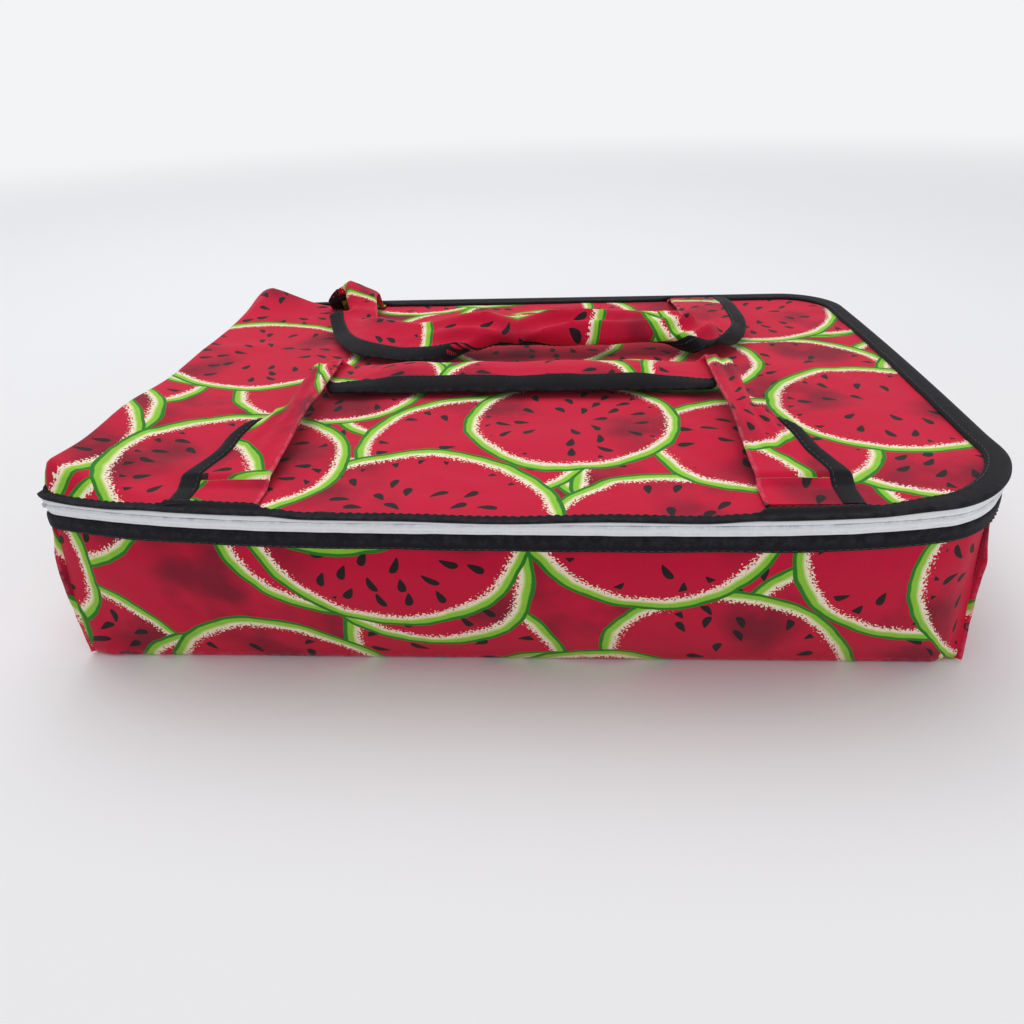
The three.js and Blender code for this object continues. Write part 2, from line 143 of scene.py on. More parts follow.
def travelled(line: Array) -> Array:
    """Distance travelled at each point of a line."""
    return np.concatenate([[0.0], np.cumsum(np.linalg.norm(np.diff(line, axis=0), axis=1))])


def sampled(places: Array, along: Array, line: Array) -> Array:
    """Points of a line at some distances along it."""
    return np.stack([np.interp(places, along, column) for column in line.T], -1)


def evenly(line: Array, count: int) -> Array:
    """Evenly spaced points along a line."""
    along = travelled(line)
    return sampled(np.linspace(0, along[-1], count), along, line)


def unit(vectors: Array) -> Array:
    """The vectors at length 1."""
    return vectors / np.linalg.norm(vectors, axis=-1, keepdims=True)


def raised(plan: Array, z: Array | float) -> Array:
    """Points at a height over level places."""
    return np.concatenate([plan, np.broadcast_to(z, plan.shape[:-1])[..., None]], -1)


def paired(across: Array, along: Array) -> Array:
    """Map places of a grid, from its places across and along."""
    along = along if along.ndim > 1 else along[:, None]
    return np.stack(np.broadcast_arrays(across, along), -1)


# Meshes


def mesh_object(name: str, points: Array, faces: list, corners: Array | None = None,
                wear_and_shade: Array | None = None) -> Piece:
    """Make a mesh object with a map and a value for rubbed places and painted shade.

    Args:
        name: The piece's name.
        points: Its points, one row each.
        faces: Point numbers of each face.
        corners: Map place of each face corner, in metres, in the order of faces.
        wear_and_shade: How rubbed each point is, 0 to 1; on the zip tapes, how much painted shade darkens it.

    Returns:
        The object, with its normals outwards.
    """
    mesh = bpy.data.meshes.new(name)
    mesh.from_pydata(np.asarray(points, float).tolist(), [], faces)
    if corners is not None:
        layer = mesh.uv_layers.new(name="cloth_map")
        layer.data.foreach_set("uv", np.asarray(corners, np.float32).ravel())
    values = np.zeros(len(points), np.float32) if wear_and_shade is None else np.asarray(wear_and_shade, np.float32)
    mesh.attributes.new("wear_and_shade", "FLOAT", "POINT").data.foreach_set("value", values.ravel())
    work = bmesh.new()
    work.from_mesh(mesh)
    bmesh.ops.recalc_face_normals(work, faces=work.faces)
    work.to_mesh(mesh)
    work.free()
    piece = bpy.data.objects.new(name, mesh)
    bpy.context.scene.collection.objects.link(piece)
    return piece


def slab(name: str, outer: Array, inner: Array, chart: Array, wear_and_shade: Array | None = None) -> Piece:
    """Close two facing grids of points into one layer of cloth.

    Args:
        name: The piece's name.
        outer: Points of the face that shows, rows by columns by 3.
        inner: Points of the other face, the same shape.
        chart: Map place of each point, rows by columns by 2.
        wear_and_shade: How rubbed each row or each point is.

    Returns:
        The closed layer.
    """
    rows, columns = outer.shape[:2]
    count = rows * columns
    index = np.arange(count).reshape(rows, columns)
    quads = np.stack([index[:-1, :-1], index[:-1, 1:], index[1:, 1:], index[1:, :-1]], -1).reshape(-1, 4)
    border = np.concatenate([index[0, :], index[1:, -1], index[-1, -2::-1], index[-2:0:-1, 0]])
    after = np.roll(border, -1)
    sides = np.stack([border, border + count, after + count, after], -1)
    faces = np.concatenate([quads, quads[:, [0, 3, 2, 1]] + count, sides])
    flat = np.concatenate([chart.reshape(-1, 2)] * 2)
    worn_and_shaded = None if wear_and_shade is None else np.concatenate([np.broadcast_to(wear_and_shade, outer.shape[:2])] * 2)
    points = np.concatenate([outer.reshape(-1, 3), inner.reshape(-1, 3)])
    return mesh_object(name, points, faces.tolist(), flat[faces.ravel()], worn_and_shaded)


def ring_faces(stations: int, size: int) -> list[list[int]]:
    """Faces of a row of rings, closed at both ends.

    Args:
        stations: Number of rings.
        size: Points of each ring.

    Returns:
        Point numbers of each face, with the two ends last.
    """
    a = np.arange(stations - 1)[:, None] * size + np.arange(size)
    b = np.arange(stations - 1)[:, None] * size + (np.arange(size) + 1) % size
    last = (stations - 1) * size
    return np.stack([a, b, b + size, a + size], -1).reshape(-1, 4).tolist() + [
        list(range(size))[::-1], list(range(last, last + size))]


def tube(name: str, rings: Array, chart: Array, wear_and_shade: Array | None = None) -> Piece:
    """Join rings of points into one closed solid with capped ends.

    Args:
        name: The piece's name.
        rings: Stations by points of the section by 3.
        chart: Map place, stations by one more than the section's points by 2.
        wear_and_shade: How rubbed each point of the section is, or each point; on the zip tapes, how much
            painted shade darkens it.

    Returns:
        The solid.
    """
    corners = np.stack([chart[:-1, :-1], chart[:-1, 1:], chart[1:, 1:], chart[1:, :-1]], 2).reshape(-1, 2)
    corners = np.concatenate([corners, chart[0, :-1][::-1], chart[-1, :-1]])
    worn_and_shaded = None if wear_and_shade is None else np.broadcast_to(wear_and_shade, rings.shape[:2])
    return mesh_object(name, rings.reshape(-1, 3), ring_faces(*rings.shape[:2]), corners, worn_and_shaded)


def dress(piece: Piece, look: Look, stands_for: Sequence[str] = (), body: Body | None = None,
          degrees: float = 50.0) -> Piece:
    """Shade a piece, give it its finish, hide the CAD nodes that it stands for, and attach it to the body
    that it moves with.

    Args:
        piece: The piece.
        look: Its finish, with the record's slot for it.
        stands_for: The CAD nodes that it replaces.
        body: The body that it rides on; without one, the piece is attached to none.
        degrees: The sharpest edge that looks smooth, or 0 for plain faces.

    Returns:
        The piece.
    """
    if degrees:
        bpy.ops.object.select_all(action="DESELECT")
        piece.select_set(True)
        bpy.context.view_layer.objects.active = piece
        bpy.ops.object.shade_smooth_by_angle(angle=radians(degrees))
        piece.select_set(False)
    material, slot = look
    piece.data.materials.clear()
    piece.data.materials.append(material)
    if stands_for:
        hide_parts(*stands_for)
    if body:
        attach(piece, body.value)
    log.info("%s: %d faces", piece.name, len(piece.data.polygons))
    return piece


def primitive(add: Callable, **settings: object) -> Piece:
    """Add one of Blender's own solids.

    Args:
        add: The operator that adds it.
        settings: What the operator is told.

    Returns:
        The solid, with its place and size in its mesh.
    """
    bpy.ops.object.select_all(action="DESELECT")
    add(**settings)
    bpy.ops.object.transform_apply(location=True, rotation=True, scale=True)
    return bpy.context.active_object


def declare_sheet(piece: Piece) -> None:
    """Read a sheet's map into an array; nothing more is done with it.

    Args:
        piece: The sheet, whose map is in metres and covers both of its faces.
    """
    chart = piece.data.uv_layers[0].uv
    flat = np.empty(len(chart) * 2)
    chart.foreach_get("vector", flat)
    flat = flat.reshape(-1, 2)


def stitch_row(name: str, path: Array, up: Array, look: Look, body: Body | None = None,
               pitch: float = 0.0034, length: float = 0.0024) -> Piece:
    """A row of thread stitches along a line.

    Args:
        name: The piece's name.
        path: Points of the line on the cloth's face.
        up: Direction out of the cloth at each point.
        look: The thread's finish.
        body: The body that it rides on; without one, the stitches are attached to none.
        pitch: Distance between stitches.
        length: Length of a stitch.

    Returns:
        All stitches as one mesh.
    """
    radius, sides = 0.00024, 5
    along = travelled(path)
    count = int((along[-1] - length) / pitch)
    starts = np.arange(count) * pitch + 0.5 * (along[-1] - count * pitch)
    shares = np.array([0.0, 0.22, 0.5, 0.78, 1.0])
    arch, girth = np.array([[-0.8, 0.35, 0.75, 0.35, -0.8], [0.55, 0.95, 1.0, 0.95, 0.55]]) * radius
    places = starts[:, None] + shares * length
    centre = sampled(places, along, path)
    out = unit(sampled(places, along, up))
    ahead = np.broadcast_to(unit(centre[:, -1:] - centre[:, :1]), centre.shape)
    side = np.cross(ahead, out)
    angles = np.arange(sides)[:, None] * 2 * pi / sides
    rings = (centre + out * arch[:, None])[:, :, None, :] + girth[:, None, None] * (
        np.cos(angles) * side[:, :, None, :] + np.sin(angles) * out[:, :, None, :])
    faces = ring_faces(len(shares), sides)
    size = len(shares) * sides
    everything = [[i + size * k for i in face] for k in range(count) for face in faces]
    return dress(mesh_object(name, rings.reshape(-1, 3), everything), look, (), body, 0)


# The bag's shape


@dataclass(frozen=True)
class BagShape:
    """The outline that walls, bindings, zip and lid share.

    Stations run anticlockwise from the front left corner. An inset is a distance inwards from
    the walls' outer face.
    """

    width: float = 0.406
    depth: float = 0.286
    wall_height: float = 0.0788
    front_bulge: float = 0.018
    front_skew: float = 0.004
    side_bulge: float = 0.003
    foot_radius: float = 0.016
    front_radius: float = 0.038
    back_radius: float = 0.033
    fold_radius: float = 0.008
    lean: float = 0.005
    cloth: float = 0.0012
    zip_foot: float = 0.0806
    lid_top: float = 0.0883
    corner_cuts: tuple[int, ...] = (8, 32, 32, 8)
    edge_cuts: tuple[int, ...] = (150, 100, 150, 100)

    @cached_property
    def centre(self) -> Array:
        """Where the middle of the bag's foot stands."""
        low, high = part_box("bottom_outer_panel")
        return np.array([(low.x + high.x) / 2, (low.y + high.y) / 2])

    @cached_property
    def starts(self) -> list[int]:
        """First station of each corner."""
        cuts = [corner + edge for corner, edge in zip(self.corner_cuts, self.edge_cuts)]
        return [sum(cuts[:corner]) for corner in range(4)]

    @cached_property
    def middles(self) -> list[int]:
        """Station at the middle of each corner."""
        return [s + c // 2 for s, c in zip(self.starts, self.corner_cuts)]

    @property
    def count(self) -> int:
        """Number of stations."""
        return sum(self.corner_cuts) + sum(self.edge_cuts)

    def rounded(self, radii: Sequence[float]) -> Array:
        """Outline of a rounded oblong.

        Args:
            radii: Radius of each corner, from the front left one.

        Returns:
            One point for each station.
        """
        def arc(corner: int, radius: float, cuts: int) -> Array:
            """Points round one corner.

            Args:
                corner: Its number, from the front left one.
                radius: Its radius.
                cuts: How many steps it is divided into.

            Returns:
                The points.
            """
            sx = 1 if corner in (1, 2) else -1
            sy = 1 if corner > 1 else -1
            angle = pi + pi / 2 * (corner + np.arange(cuts + 1) / cuts)
            return np.stack([sx * (self.width / 2 - radius) + radius * np.cos(angle),
                             sy * (self.depth / 2 - radius) + radius * np.sin(angle)], -1)

        parts = []
        for corner in range(4):
            here = arc(corner, radii[corner], self.corner_cuts[corner])
            after = (corner + 1) % 4
            there = arc(after, radii[after], self.corner_cuts[after])[0]
            cuts = self.edge_cuts[corner]
            share = (np.arange(1, cuts) / cuts)[:, None]
            parts += [here, here[-1] + (there - here[-1]) * share]
        return np.concatenate(parts)

    @cached_property
    def foot(self) -> Array:
        """Outline at the floor."""
        return self.rounded([self.foot_radius] * 4)

    @cached_property
    def rim(self) -> Array:
        """Outline at the walls' top.

        Returns:
            One point for each station.
        """
        line = self.rounded([self.fold_radius, self.front_radius, self.back_radius, self.fold_radius])
        station = np.arange(self.count)
        front = (station < self.starts[1] + self.corner_cuts[1]) & (line[:, 1] < 0)
        right = (station >= self.starts[1]) & (station <= self.starts[2] + self.corner_cuts[2])
        right &= line[:, 0] > 0
        side = line[:, 0] / (self.width / 2)
        bulge_y = front * (self.front_bulge + self.front_skew * side) * (1 - side ** 4)
        bulge_x = right * self.side_bulge * (1 - (line[:, 1] / (self.depth / 2)) ** 2)
        return line + np.stack([bulge_x, -bulge_y], -1)

    def ring(self, z: Array | float, inset: Array | float = 0.0, outline: Array | None = None) -> Array:
        """Points round the bag.

        Args:
            z: Height, one or one for each station.
            inset: Distance inwards, one or one for each station.
            outline: Another outline than the walls' own.

        Returns:
            One point for each station.
        """
        z = np.broadcast_to(np.asarray(z, float), (self.count,))
        inset = np.broadcast_to(np.asarray(inset, float), (self.count,))
        share = np.sin(np.clip(z / self.wall_height, 0, 1) * pi / 2)[:, None]
        line = self.foot + (self.rim - self.foot) * share if outline is None else outline
        ahead = np.roll(line, -1, 0) - line
        edge = unit(np.stack([ahead[:, 1], -ahead[:, 0]], -1))
        before = np.roll(edge, 1, 0)
        mitre = 1 / (1 + (edge * before).sum(1))
        moved = line - (edge + before) * (mitre * inset)[:, None] + self.centre
        moved[:, 0] -= self.lean * (1 - np.clip(z / self.wall_height, 0, 1))
        return raised(moved, z)

    def span(self, first: int, last: int) -> Array:
        """Station numbers from first to last, wrapped round."""
        return np.arange(first, last + 1) % self.count

    @cached_property
    def along(self) -> Array:
        """Distance round the rim of each station."""
        return travelled(self.ring(self.wall_height))

    @cached_property
    def outward(self) -> Array:
        """Level direction out of the rim at each station."""
        return unit(self.ring(self.wall_height, -0.001) - self.ring(self.wall_height))

    @cached_property
    def zip_span(self) -> Array:
        """Stations that the zip runs along, from the front left round the right to the back left."""
        return self.span(self.middles[0], self.middles[3])


@dataclass(frozen=True)
class LidSurface:
    """The height of the lid's cloth.

    It sags in its middle and is puffed up along the fold, most at the fold's two ends.
    """

    bag: BagShape
    sag: float = 0.0014
    fold_rise: float = 0.0072
    front_puff: float = 0.0068
    back_puff: float = 0.0075
    rise_reach: float = 0.032
    puff_reach: float = 0.03
    bow: float = 0.0036
    back_peak: float = 0.0056
    wave: float = 0.00055
    edge_line: tuple[tuple[float, float], ...] = (
        (-0.2, 0.0), (-0.182, 0.0009), (-0.168, 0.0009), (-0.15, 0.0001), (-0.1, 0.0001), (-0.084, 0.0013),
        (-0.05, 0.0013), (-0.006, 0.0022), (0.037, 0.0009), (0.072, 0.0014), (0.094, 0.0003), (0.135, 0.0002),
        (0.158, -0.0008), (0.19, -0.0015))
    creases: tuple[tuple[float, float, float, float, float, float], ...] = (
        (0.055, -0.07, 0.104, -0.142, -0.0013, 0.0055), (0.066, -0.06, 0.122, -0.13, 0.0009, 0.005),
        (0.015, -0.108, 0.052, -0.146, 0.0008, 0.005), (-0.19, -0.106, -0.135, -0.128, 0.0012, 0.007),
        (-0.05, -0.12, -0.005, -0.136, 0.0006, 0.005), (-0.196, 0.03, -0.15, 0.055, 0.001, 0.008),
        (0.15, 0.02, 0.182, -0.05, 0.0007, 0.006), (-0.02, 0.11, 0.05, 0.136, 0.0007, 0.006))

    def edge_drop(self, x: Array, y: Array) -> Array:
        """How much lower the lid's front edge hangs."""
        near = 1 - smoothstep(0.012, 0.05, y - self.bag.centre[1] + self.bag.depth / 2 - 0.004)
        return eased(x - self.bag.centre[0], self.edge_line) * near

    def crease_height(self, x: Array, y: Array) -> Array:
        """Height that the few soft creases add.

        Args:
            x: Places along X from the bag's middle.
            y: Places along Y from it.

        Returns:
            Their heights.
        """
        total = np.zeros(np.shape(x))
        for x0, y0, x1, y1, height, width in self.creases:
            run = hypot(x1 - x0, y1 - y0)
            ax, ay = (x1 - x0) / run, (y1 - y0) / run
            along = (x - x0) * ax + (y - y0) * ay
            off = (y - y0) * ax - (x - x0) * ay
            ends = smoothstep(0, run * 0.35, along) * (1 - smoothstep(run * 0.7, run, along))
            total = total + height * ends * np.exp(-(off / width) ** 2)
        return total

    def height(self, x: Array, y: Array) -> Array:
        """Height of the lid's face.

        Args:
            x: Places along X.
            y: Places along Y.

        Returns:
            Their heights.
        """
        bag = self.bag
        u = (x - bag.centre[0]) / (bag.width / 2)
        v = (y - bag.centre[1]) / (bag.depth / 2)
        from_fold = np.clip(u + 1, 0, None) * bag.width / 2
        bulge = (bag.front_bulge + bag.front_skew * u) * (1 - np.clip(u, -1, 1) ** 4)
        from_front = np.clip((v + 1) * bag.depth / 2 + bulge, 0, None)
        from_back = np.clip((1 - v) * bag.depth / 2, 0, None)
        ends = smoothstep(0.0008, 0.011, from_front) * smoothstep(0.0008, 0.011, from_back)
        along_fold = np.exp(-(from_fold / self.rise_reach) ** 1.4)
        rise = self.fold_rise * (0.85 + 0.3 * ripple(y, 0.16, 9)) * along_fold
        bow = np.exp(-((y - bag.centre[1] + 0.07) / 0.038) ** 2 - (from_fold / self.rise_reach) ** 1.4)
        rise = rise + self.bow * bow + self.back_peak * np.exp(
            -((from_fold - 0.023) / 0.023) ** 2 - ((from_back - 0.008) / 0.02) ** 2)
        for puff, off in ((self.front_puff, from_front * 0.7), (self.back_puff, from_back * 0.8)):
            rise = rise + puff * np.exp(-(np.hypot(from_fold, off) / self.puff_reach) ** 2)
        middle = np.clip((1 - u * u), 0, 1) ** 0.5 * np.clip((1 - v * v), 0, 1) ** 0.5
        waves = (ripple(x + 0.35 * y, 0.071, 3) + ripple(y - 0.2 * x, 0.052, 5)) * self.wave
        soft = self.crease_height(x - bag.centre[0], y - bag.centre[1]) * smoothstep(0.001, 0.01, from_front)
        low = self.edge_drop(x, y)
        return bag.lid_top - 0.0002 + rise * ends - self.sag * middle + waves * middle + soft - low


# Finishes


class Wiring:
    """Adds nodes to one node tree and links them."""

    def __init__(self, tree: Tree) -> None:
        """Keep the tree."""
        self.tree = tree

    def node(self, kind: str, inputs: dict | None = None, **settings: object) -> bpy.types.Node:
        """Add a node.

        Args:
            kind: The node's type, without its first words.
            inputs: Value or socket for each named or numbered input.
            settings: Properties of the node.

        Returns:
            The node.
        """
        made = self.tree.nodes.new(kind if kind.startswith("Node") else "ShaderNode" + kind)
        for key, value in settings.items():
            setattr(made, key, value)
        self.feed(made, inputs or {})
        return made

    def feed(self, node: bpy.types.Node, inputs: dict) -> None:
        """Link a node's inputs to other sockets, or set their values.

        Args:
            node: The node.
            inputs: A socket, a number or a tuple for each named or numbered input.
        """
        for key, value in inputs.items():
            socket = node.inputs[key]
            if isinstance(value, Socket):
                self.tree.links.new(value, socket)
            elif socket.type == "RGBA" and len(value) == 3:
                socket.default_value = (*value, 1.0)
            else:
                socket.default_value = value

    def math(self, operation: str, *values: object, clamp: bool = False) -> Socket:
        """A Math node's result. A tuple among its values is an operation with its own values."""
        inputs = {i: self.math(*v) if isinstance(v, tuple) else v for i, v in enumerate(values)}
        return self.node("Math", inputs, operation=operation, use_clamp=clamp).outputs[0]

    def vector(self, operation: str, a: object, b: object = (0.0, 0.0, 0.0)) -> Socket:
        """A Vector Math node's result.

        Args:
            operation: Its operation.
            a: First vector.
            b: Second vector, or the factor of a scaling.

        Returns:
            The result's socket.
        """
        key = "Scale" if operation == "SCALE" else 1
        made = self.node("VectorMath", {0: a, key: b}, operation=operation)
        return made.outputs["Value" if operation == "LENGTH" else "Vector"]

    def mix(self, share: object, a: object, b: object, blend: str = "MIX") -> Socket:
        """Mix two colours."""
        return self.node("Mix", {0: share, 6: a, 7: b}, data_type="RGBA", blend_type=blend).outputs[2]

    def parts(self, vector: object) -> bpy.types.NodeOutputs:
        """The three parts of a vector or colour."""
        return self.node("SeparateXYZ", {0: vector}).outputs

    def joined(self, *parts: object) -> Socket:
        """A vector made of its parts."""
        return self.node("CombineXYZ", dict(enumerate(parts))).outputs[0]

    def steps(self, value: object, low: float, high: float) -> Socket:
        """A smooth rise from 0 to 1."""
        inputs = {0: value, 1: low, 2: high}
        return self.node("MapRange", inputs, interpolation_type="SMOOTHSTEP").outputs[0]

    def noise(self, vector: object, scale: float, detail: float = 2.0, rough: float = 0.5) -> Socket:
        """A noise value."""
        inputs = {"Vector": vector, "Scale": scale, "Detail": detail, "Roughness": rough}
        return self.node("TexNoise", inputs).outputs[0]

    def bump(self, height: object) -> Socket:
        """A bumped normal."""
        return self.node("Bump", {"Height": height, "Distance": 1.0, "Strength": 1.0}).outputs[0]


def new_material(name: str) -> tuple[bpy.types.Material, Wiring, bpy.types.Node]:
    """Start a material.

    Args:
        name: Its name.

    Returns:
        The material, its wiring and its shader.
    """
    material = bpy.data.materials.new(name)
    material.use_nodes = True
    return material, Wiring(material.node_tree), material.node_tree.nodes["Principled BSDF"]


def node_group(name: str, inputs: Sequence[tuple[str, str, object]], outputs: Sequence[tuple[str, str]]
               ) -> tuple[Wiring, bpy.types.NodeOutputs, bpy.types.Node]:
    """Start a shader node group with named sockets.

    Args:
        name: The group's name.
        inputs: Name, socket type and default of each input.
        outputs: Name and socket type of each output.

    Returns:
        The group's wiring, the sockets of its inputs and its output node.
    """
    tree = bpy.data.node_groups.new(name, "ShaderNodeTree")
    for label, kind, default in inputs:
        socket = tree.interface.new_socket(label, in_out="INPUT", socket_type=kind)
        if default is not None:
            socket.default_value = default
    for label, kind in outputs:
        tree.interface.new_socket(label, in_out="OUTPUT", socket_type=kind)
    wiring = Wiring(tree)
    return wiring, wiring.node("NodeGroupInput").outputs, wiring.node("NodeGroupOutput")


FLOAT, VECTOR, COLOUR = "NodeSocketFloat", "NodeSocketVector", "NodeSocketColor"


@dataclass(frozen=True)
class DiscPrint:
    """A generic all-over print: round discs with a ribbon edge and rings of drops."""

    ground: Colour = linear(200, 9, 54)
    shade: Colour = linear(132, 8, 40)
    drop: Colour = linear(30, 16, 22)
    edge_dark: Colour = linear(36, 122, 30)
    edge_lime: Colour = linear(140, 200, 56)
    edge_pale: Colour = linear(196, 220, 120)
    speckle: Colour = linear(246, 232, 206)
    ribbon: float = 0.0068
    ring_pitch: float = 0.0098
    drop_pitch: float = 0.0125
    drop_half: float = 0.0038
    drop_width: float = 0.0017
    drop_strays: tuple[float, float] = (0.0045, 0.0024)
    middles: tuple[float, float] = (0.42, 0.16)
    sizes: tuple[float, float] = (0.31, 0.1)
    layers: tuple[tuple[float, float, float, float], ...] = (
        (0.137, 0.031, 0.012, 1.0), (0.149, 0.094, 0.071, 2.0),
        (0.143, 0.012, 0.103, 3.0), (0.158, 0.075, 0.022, 4.0), (0.151, 0.118, 0.066, 5.0))

    def layer(self) -> Tree:
        """Build the group that draws one layer of discs.

        Returns:
            The group.
        """
        w, into, out = node_group("disc_layer", [
            ("Vector", VECTOR, None), ("Below", COLOUR, (0.5, 0, 0, 1)), ("Cell", FLOAT, 0.15),
            ("Shift", VECTOR, None), ("Seed", FLOAT, 1.0)], [("Colour", COLOUR)])
        cell, seed = into["Cell"], into["Seed"]
        place = w.vector("ADD", into["Vector"], into["Shift"])
        scaled = w.vector("SCALE", place, w.math("DIVIDE", 1.0, cell))
        which = w.vector("FLOOR", scaled)
        inside_cell = w.vector("SUBTRACT", scaled, which)
        chance = w.node("TexWhiteNoise", {"Vector": w.vector("ADD", which, w.joined(seed, seed))}).outputs
        parts = w.parts(chance["Color"])
        low, spread = self.middles
        middle = w.joined(*(w.math("MULTIPLY_ADD", part, spread, low) for part in parts[:2]))
        away = w.vector("SCALE", w.vector("SUBTRACT", inside_cell, middle), cell)
        xy = w.parts(away)
        distance = w.vector("LENGTH", away)
        low, spread = self.sizes
        size = w.math("ADD", ("MULTIPLY", parts[2], spread), low)
        wobble = w.math("MULTIPLY", ("SUBTRACT", w.noise(place, 45.0), 0.5), 0.005)
        inward = w.math("ADD", ("SUBTRACT", ("MULTIPLY", size, cell), distance), wobble)
        angle = w.math("ADD", ("ARCTAN2", xy[1], xy[0]), ("MULTIPLY", chance["Value"], 2 * pi))
        bend = w.math("MULTIPLY", w.noise(place, 16.0), 2.5)
        facet = w.steps(w.math("SINE", ("ADD", ("MULTIPLY", angle, 2.0), bend)), 0.1, 0.95)
        facet = w.math("MULTIPLY", facet, w.steps(distance, 0.004, 0.03))
        facet = w.math("MULTIPLY", facet, w.steps(w.noise(place, 30.0, 4.0), 0.3, 0.62))
        flesh = w.mix(facet, self.ground, self.shade)
        flesh = w.mix(self.drops(w, distance, inward, angle, chance["Value"], seed), flesh, self.drop)
        ramp = w.node("ValToRGB", {0: w.math("DIVIDE", inward, self.ribbon)})
        stops = [(0.0, self.edge_dark), (0.2, self.edge_dark), (0.27, self.edge_lime),
                 (0.52, self.edge_lime), (0.62, self.edge_pale), (0.74, self.speckle)]
        while len(ramp.color_ramp.elements) < len(stops):
            ramp.color_ramp.elements.new(0.5)
        for element, (position, colour) in zip(ramp.color_ramp.elements, stops):
            element.position = position
            element.color = (*colour, 1.0)
        ragged = w.math("MULTIPLY", ("SUBTRACT", w.noise(place, 950.0, 1.0), 0.5), 0.0095)
        thins = w.math("LESS_THAN", ("ADD", inward, ragged), self.ribbon)
        edge = w.math("MAXIMUM", thins, ("LESS_THAN", inward, self.ribbon * 0.7))
        colour = w.mix(edge, flesh, ramp.outputs[0])
        inside = w.math("GREATER_THAN", inward, 0.0)
        w.feed(out, {"Colour": w.mix(inside, into["Below"], colour)})
        return w.tree

    def drops(self, w: Wiring, distance: Socket, inward: Socket, angle: Socket, chance: Socket,
              seed: Socket) -> Socket:
        """Mask of the drops that stand in rings round a disc's middle.

        Args:
            w: The wiring of the group.
            distance: Distance from the disc's middle.
            inward: Distance inwards from its edge.
            angle: Angle round its middle.
            chance: The disc's own random value.
            seed: The layer's seed.

        Returns:
            The mask's socket.
        """
        ring_place = w.math("DIVIDE", distance, self.ring_pitch)
        ring = w.math("FLOOR", ring_place)
        off_ring = ("MULTIPLY", ("SUBTRACT", ("SUBTRACT", ring_place, ring), 0.5), self.ring_pitch)
        girth = w.math("MULTIPLY", ("ADD", ring, 0.5), 2 * pi * self.ring_pitch)
        number = w.math("ROUND", ("DIVIDE", girth, self.drop_pitch))
        turn = w.math("ADD", ("MULTIPLY", ("DIVIDE", angle, 2 * pi), number), ("MULTIPLY", ring, 0.5))
        which = w.math("FLOOR", turn)
        off_arc = ("MULTIPLY", ("SUBTRACT", ("SUBTRACT", turn, which), 0.5), ("DIVIDE", girth, number))
        key = w.joined(w.math("ADD", ("FLOORED_MODULO", which, number), ("MULTIPLY", seed, 31.0)), ring,
                       w.math("MULTIPLY", chance, 57.0))
        random = w.node("TexWhiteNoise", {"Vector": key}).outputs
        parts = w.parts(random["Color"])
        arc, radial = (w.math("ADD", off, ("MULTIPLY", ("SUBTRACT", part, 0.5), spread))
                       for off, part, spread in zip((off_arc, off_ring), parts, self.drop_strays))
        arc = w.math("ADD", arc, ("MULTIPLY", radial, ("SUBTRACT", parts[2], 0.5)))
        q = w.math("DIVIDE", radial, self.drop_half)
        half = w.math("SQRT", ("MAXIMUM", ("SUBTRACT", 1.0, ("MULTIPLY", q, q)), 0.0))
        half = w.math("MULTIPLY", half, ("MULTIPLY", ("ADD", 1.0, ("MULTIPLY", q, 0.42)), self.drop_width))
        mask = w.math("LESS_THAN", ("ABSOLUTE", arc), half)
        for value, least in ((random["Value"], 0.42), (distance, 0.0095), (inward, self.ribbon + 0.0035)):
            mask = w.math("MULTIPLY", mask, ("GREATER_THAN", value, least))
        return mask

    def build(self) -> Tree:
        """Build the group that draws the whole print.

        Returns:
            The group.
        """
        one = self.layer()
        w, into, out = node_group("disc_print", [("Vector", VECTOR, None)], [("Colour", COLOUR)])
        place = into["Vector"]
        colour = w.mix(w.steps(w.noise(place, 24.0, 3.0), 0.42, 0.66), self.ground, self.shade)
        for cell, x, y, seed in self.layers:
            turned = w.node("VectorRotate", {"Vector": place, "Angle": seed * 1.3}, rotation_type="Z_AXIS")
            colour = w.node("Group", {"Vector": turned.outputs[0], "Below": colour, "Cell": cell,
                                      "Shift": (x, y, 0.0), "Seed": seed}, node_tree=one).outputs[0]
        w.feed(out, {"Colour": colour})
        return w.tree


class Effects:
    """Node groups that several finishes share."""

    def __init__(self) -> None:
        """Build the groups."""
        self.weave = self.build_weave()
        # This mask carries rubbed edges and also the zip tapes' painted shade.
        self.fade = self.build_wear_and_shade_mask()

    @staticmethod
    def build_weave() -> Tree:
        """A plain weave: height of the threads and how uneven they look.

        Returns:
            The group.
        """
        w, into, out = node_group("plain_weave", [
            ("Vector", VECTOR, None), ("Thread", FLOAT, 0.0004)], [("Height", FLOAT), ("Uneven", FLOAT)])
        place = into["Vector"]
        xy = w.parts(w.vector("SCALE", place, w.math("DIVIDE", pi, into["Thread"])))
        over = w.math("MULTIPLY", ("SINE", xy[0]), ("SINE", xy[1]))
        slubs = [w.noise(w.node("Mapping", {0: place, 3: stretch}).outputs[0], 1500.0, 1.0)
                 for stretch in ((1.0, 0.06, 1.0), (0.06, 1.0, 1.0))]
        w.feed(out, {"Height": w.math("MULTIPLY_ADD", over, 0.5),
                     "Uneven": w.math("MULTIPLY", ("ADD", *slubs), 0.5)})
        return w.tree

    @staticmethod
    def build_wear_and_shade_mask() -> Tree:
        """Rubbed and faded edges, and the zip tapes' painted shade: a mask from the piece's value for both.

        Returns:
            The group.
        """
        w, into, out = node_group("rubbed_edge_and_shade", [
            ("Vector", VECTOR, None), ("Wear_and_shade", FLOAT, 0.0), ("Amount", FLOAT, 0.5)], [("Mask", FLOAT)])
        patch = w.steps(w.noise(into["Vector"], 220.0, 4.0, 0.7), 0.35, 0.7)
        worn_and_shaded = ("MULTIPLY", into["Wear_and_shade"], into["Amount"])
        w.feed(out, {"Mask": w.math("MULTIPLY", worn_and_shaded, patch, clamp=True)})
        return w.tree


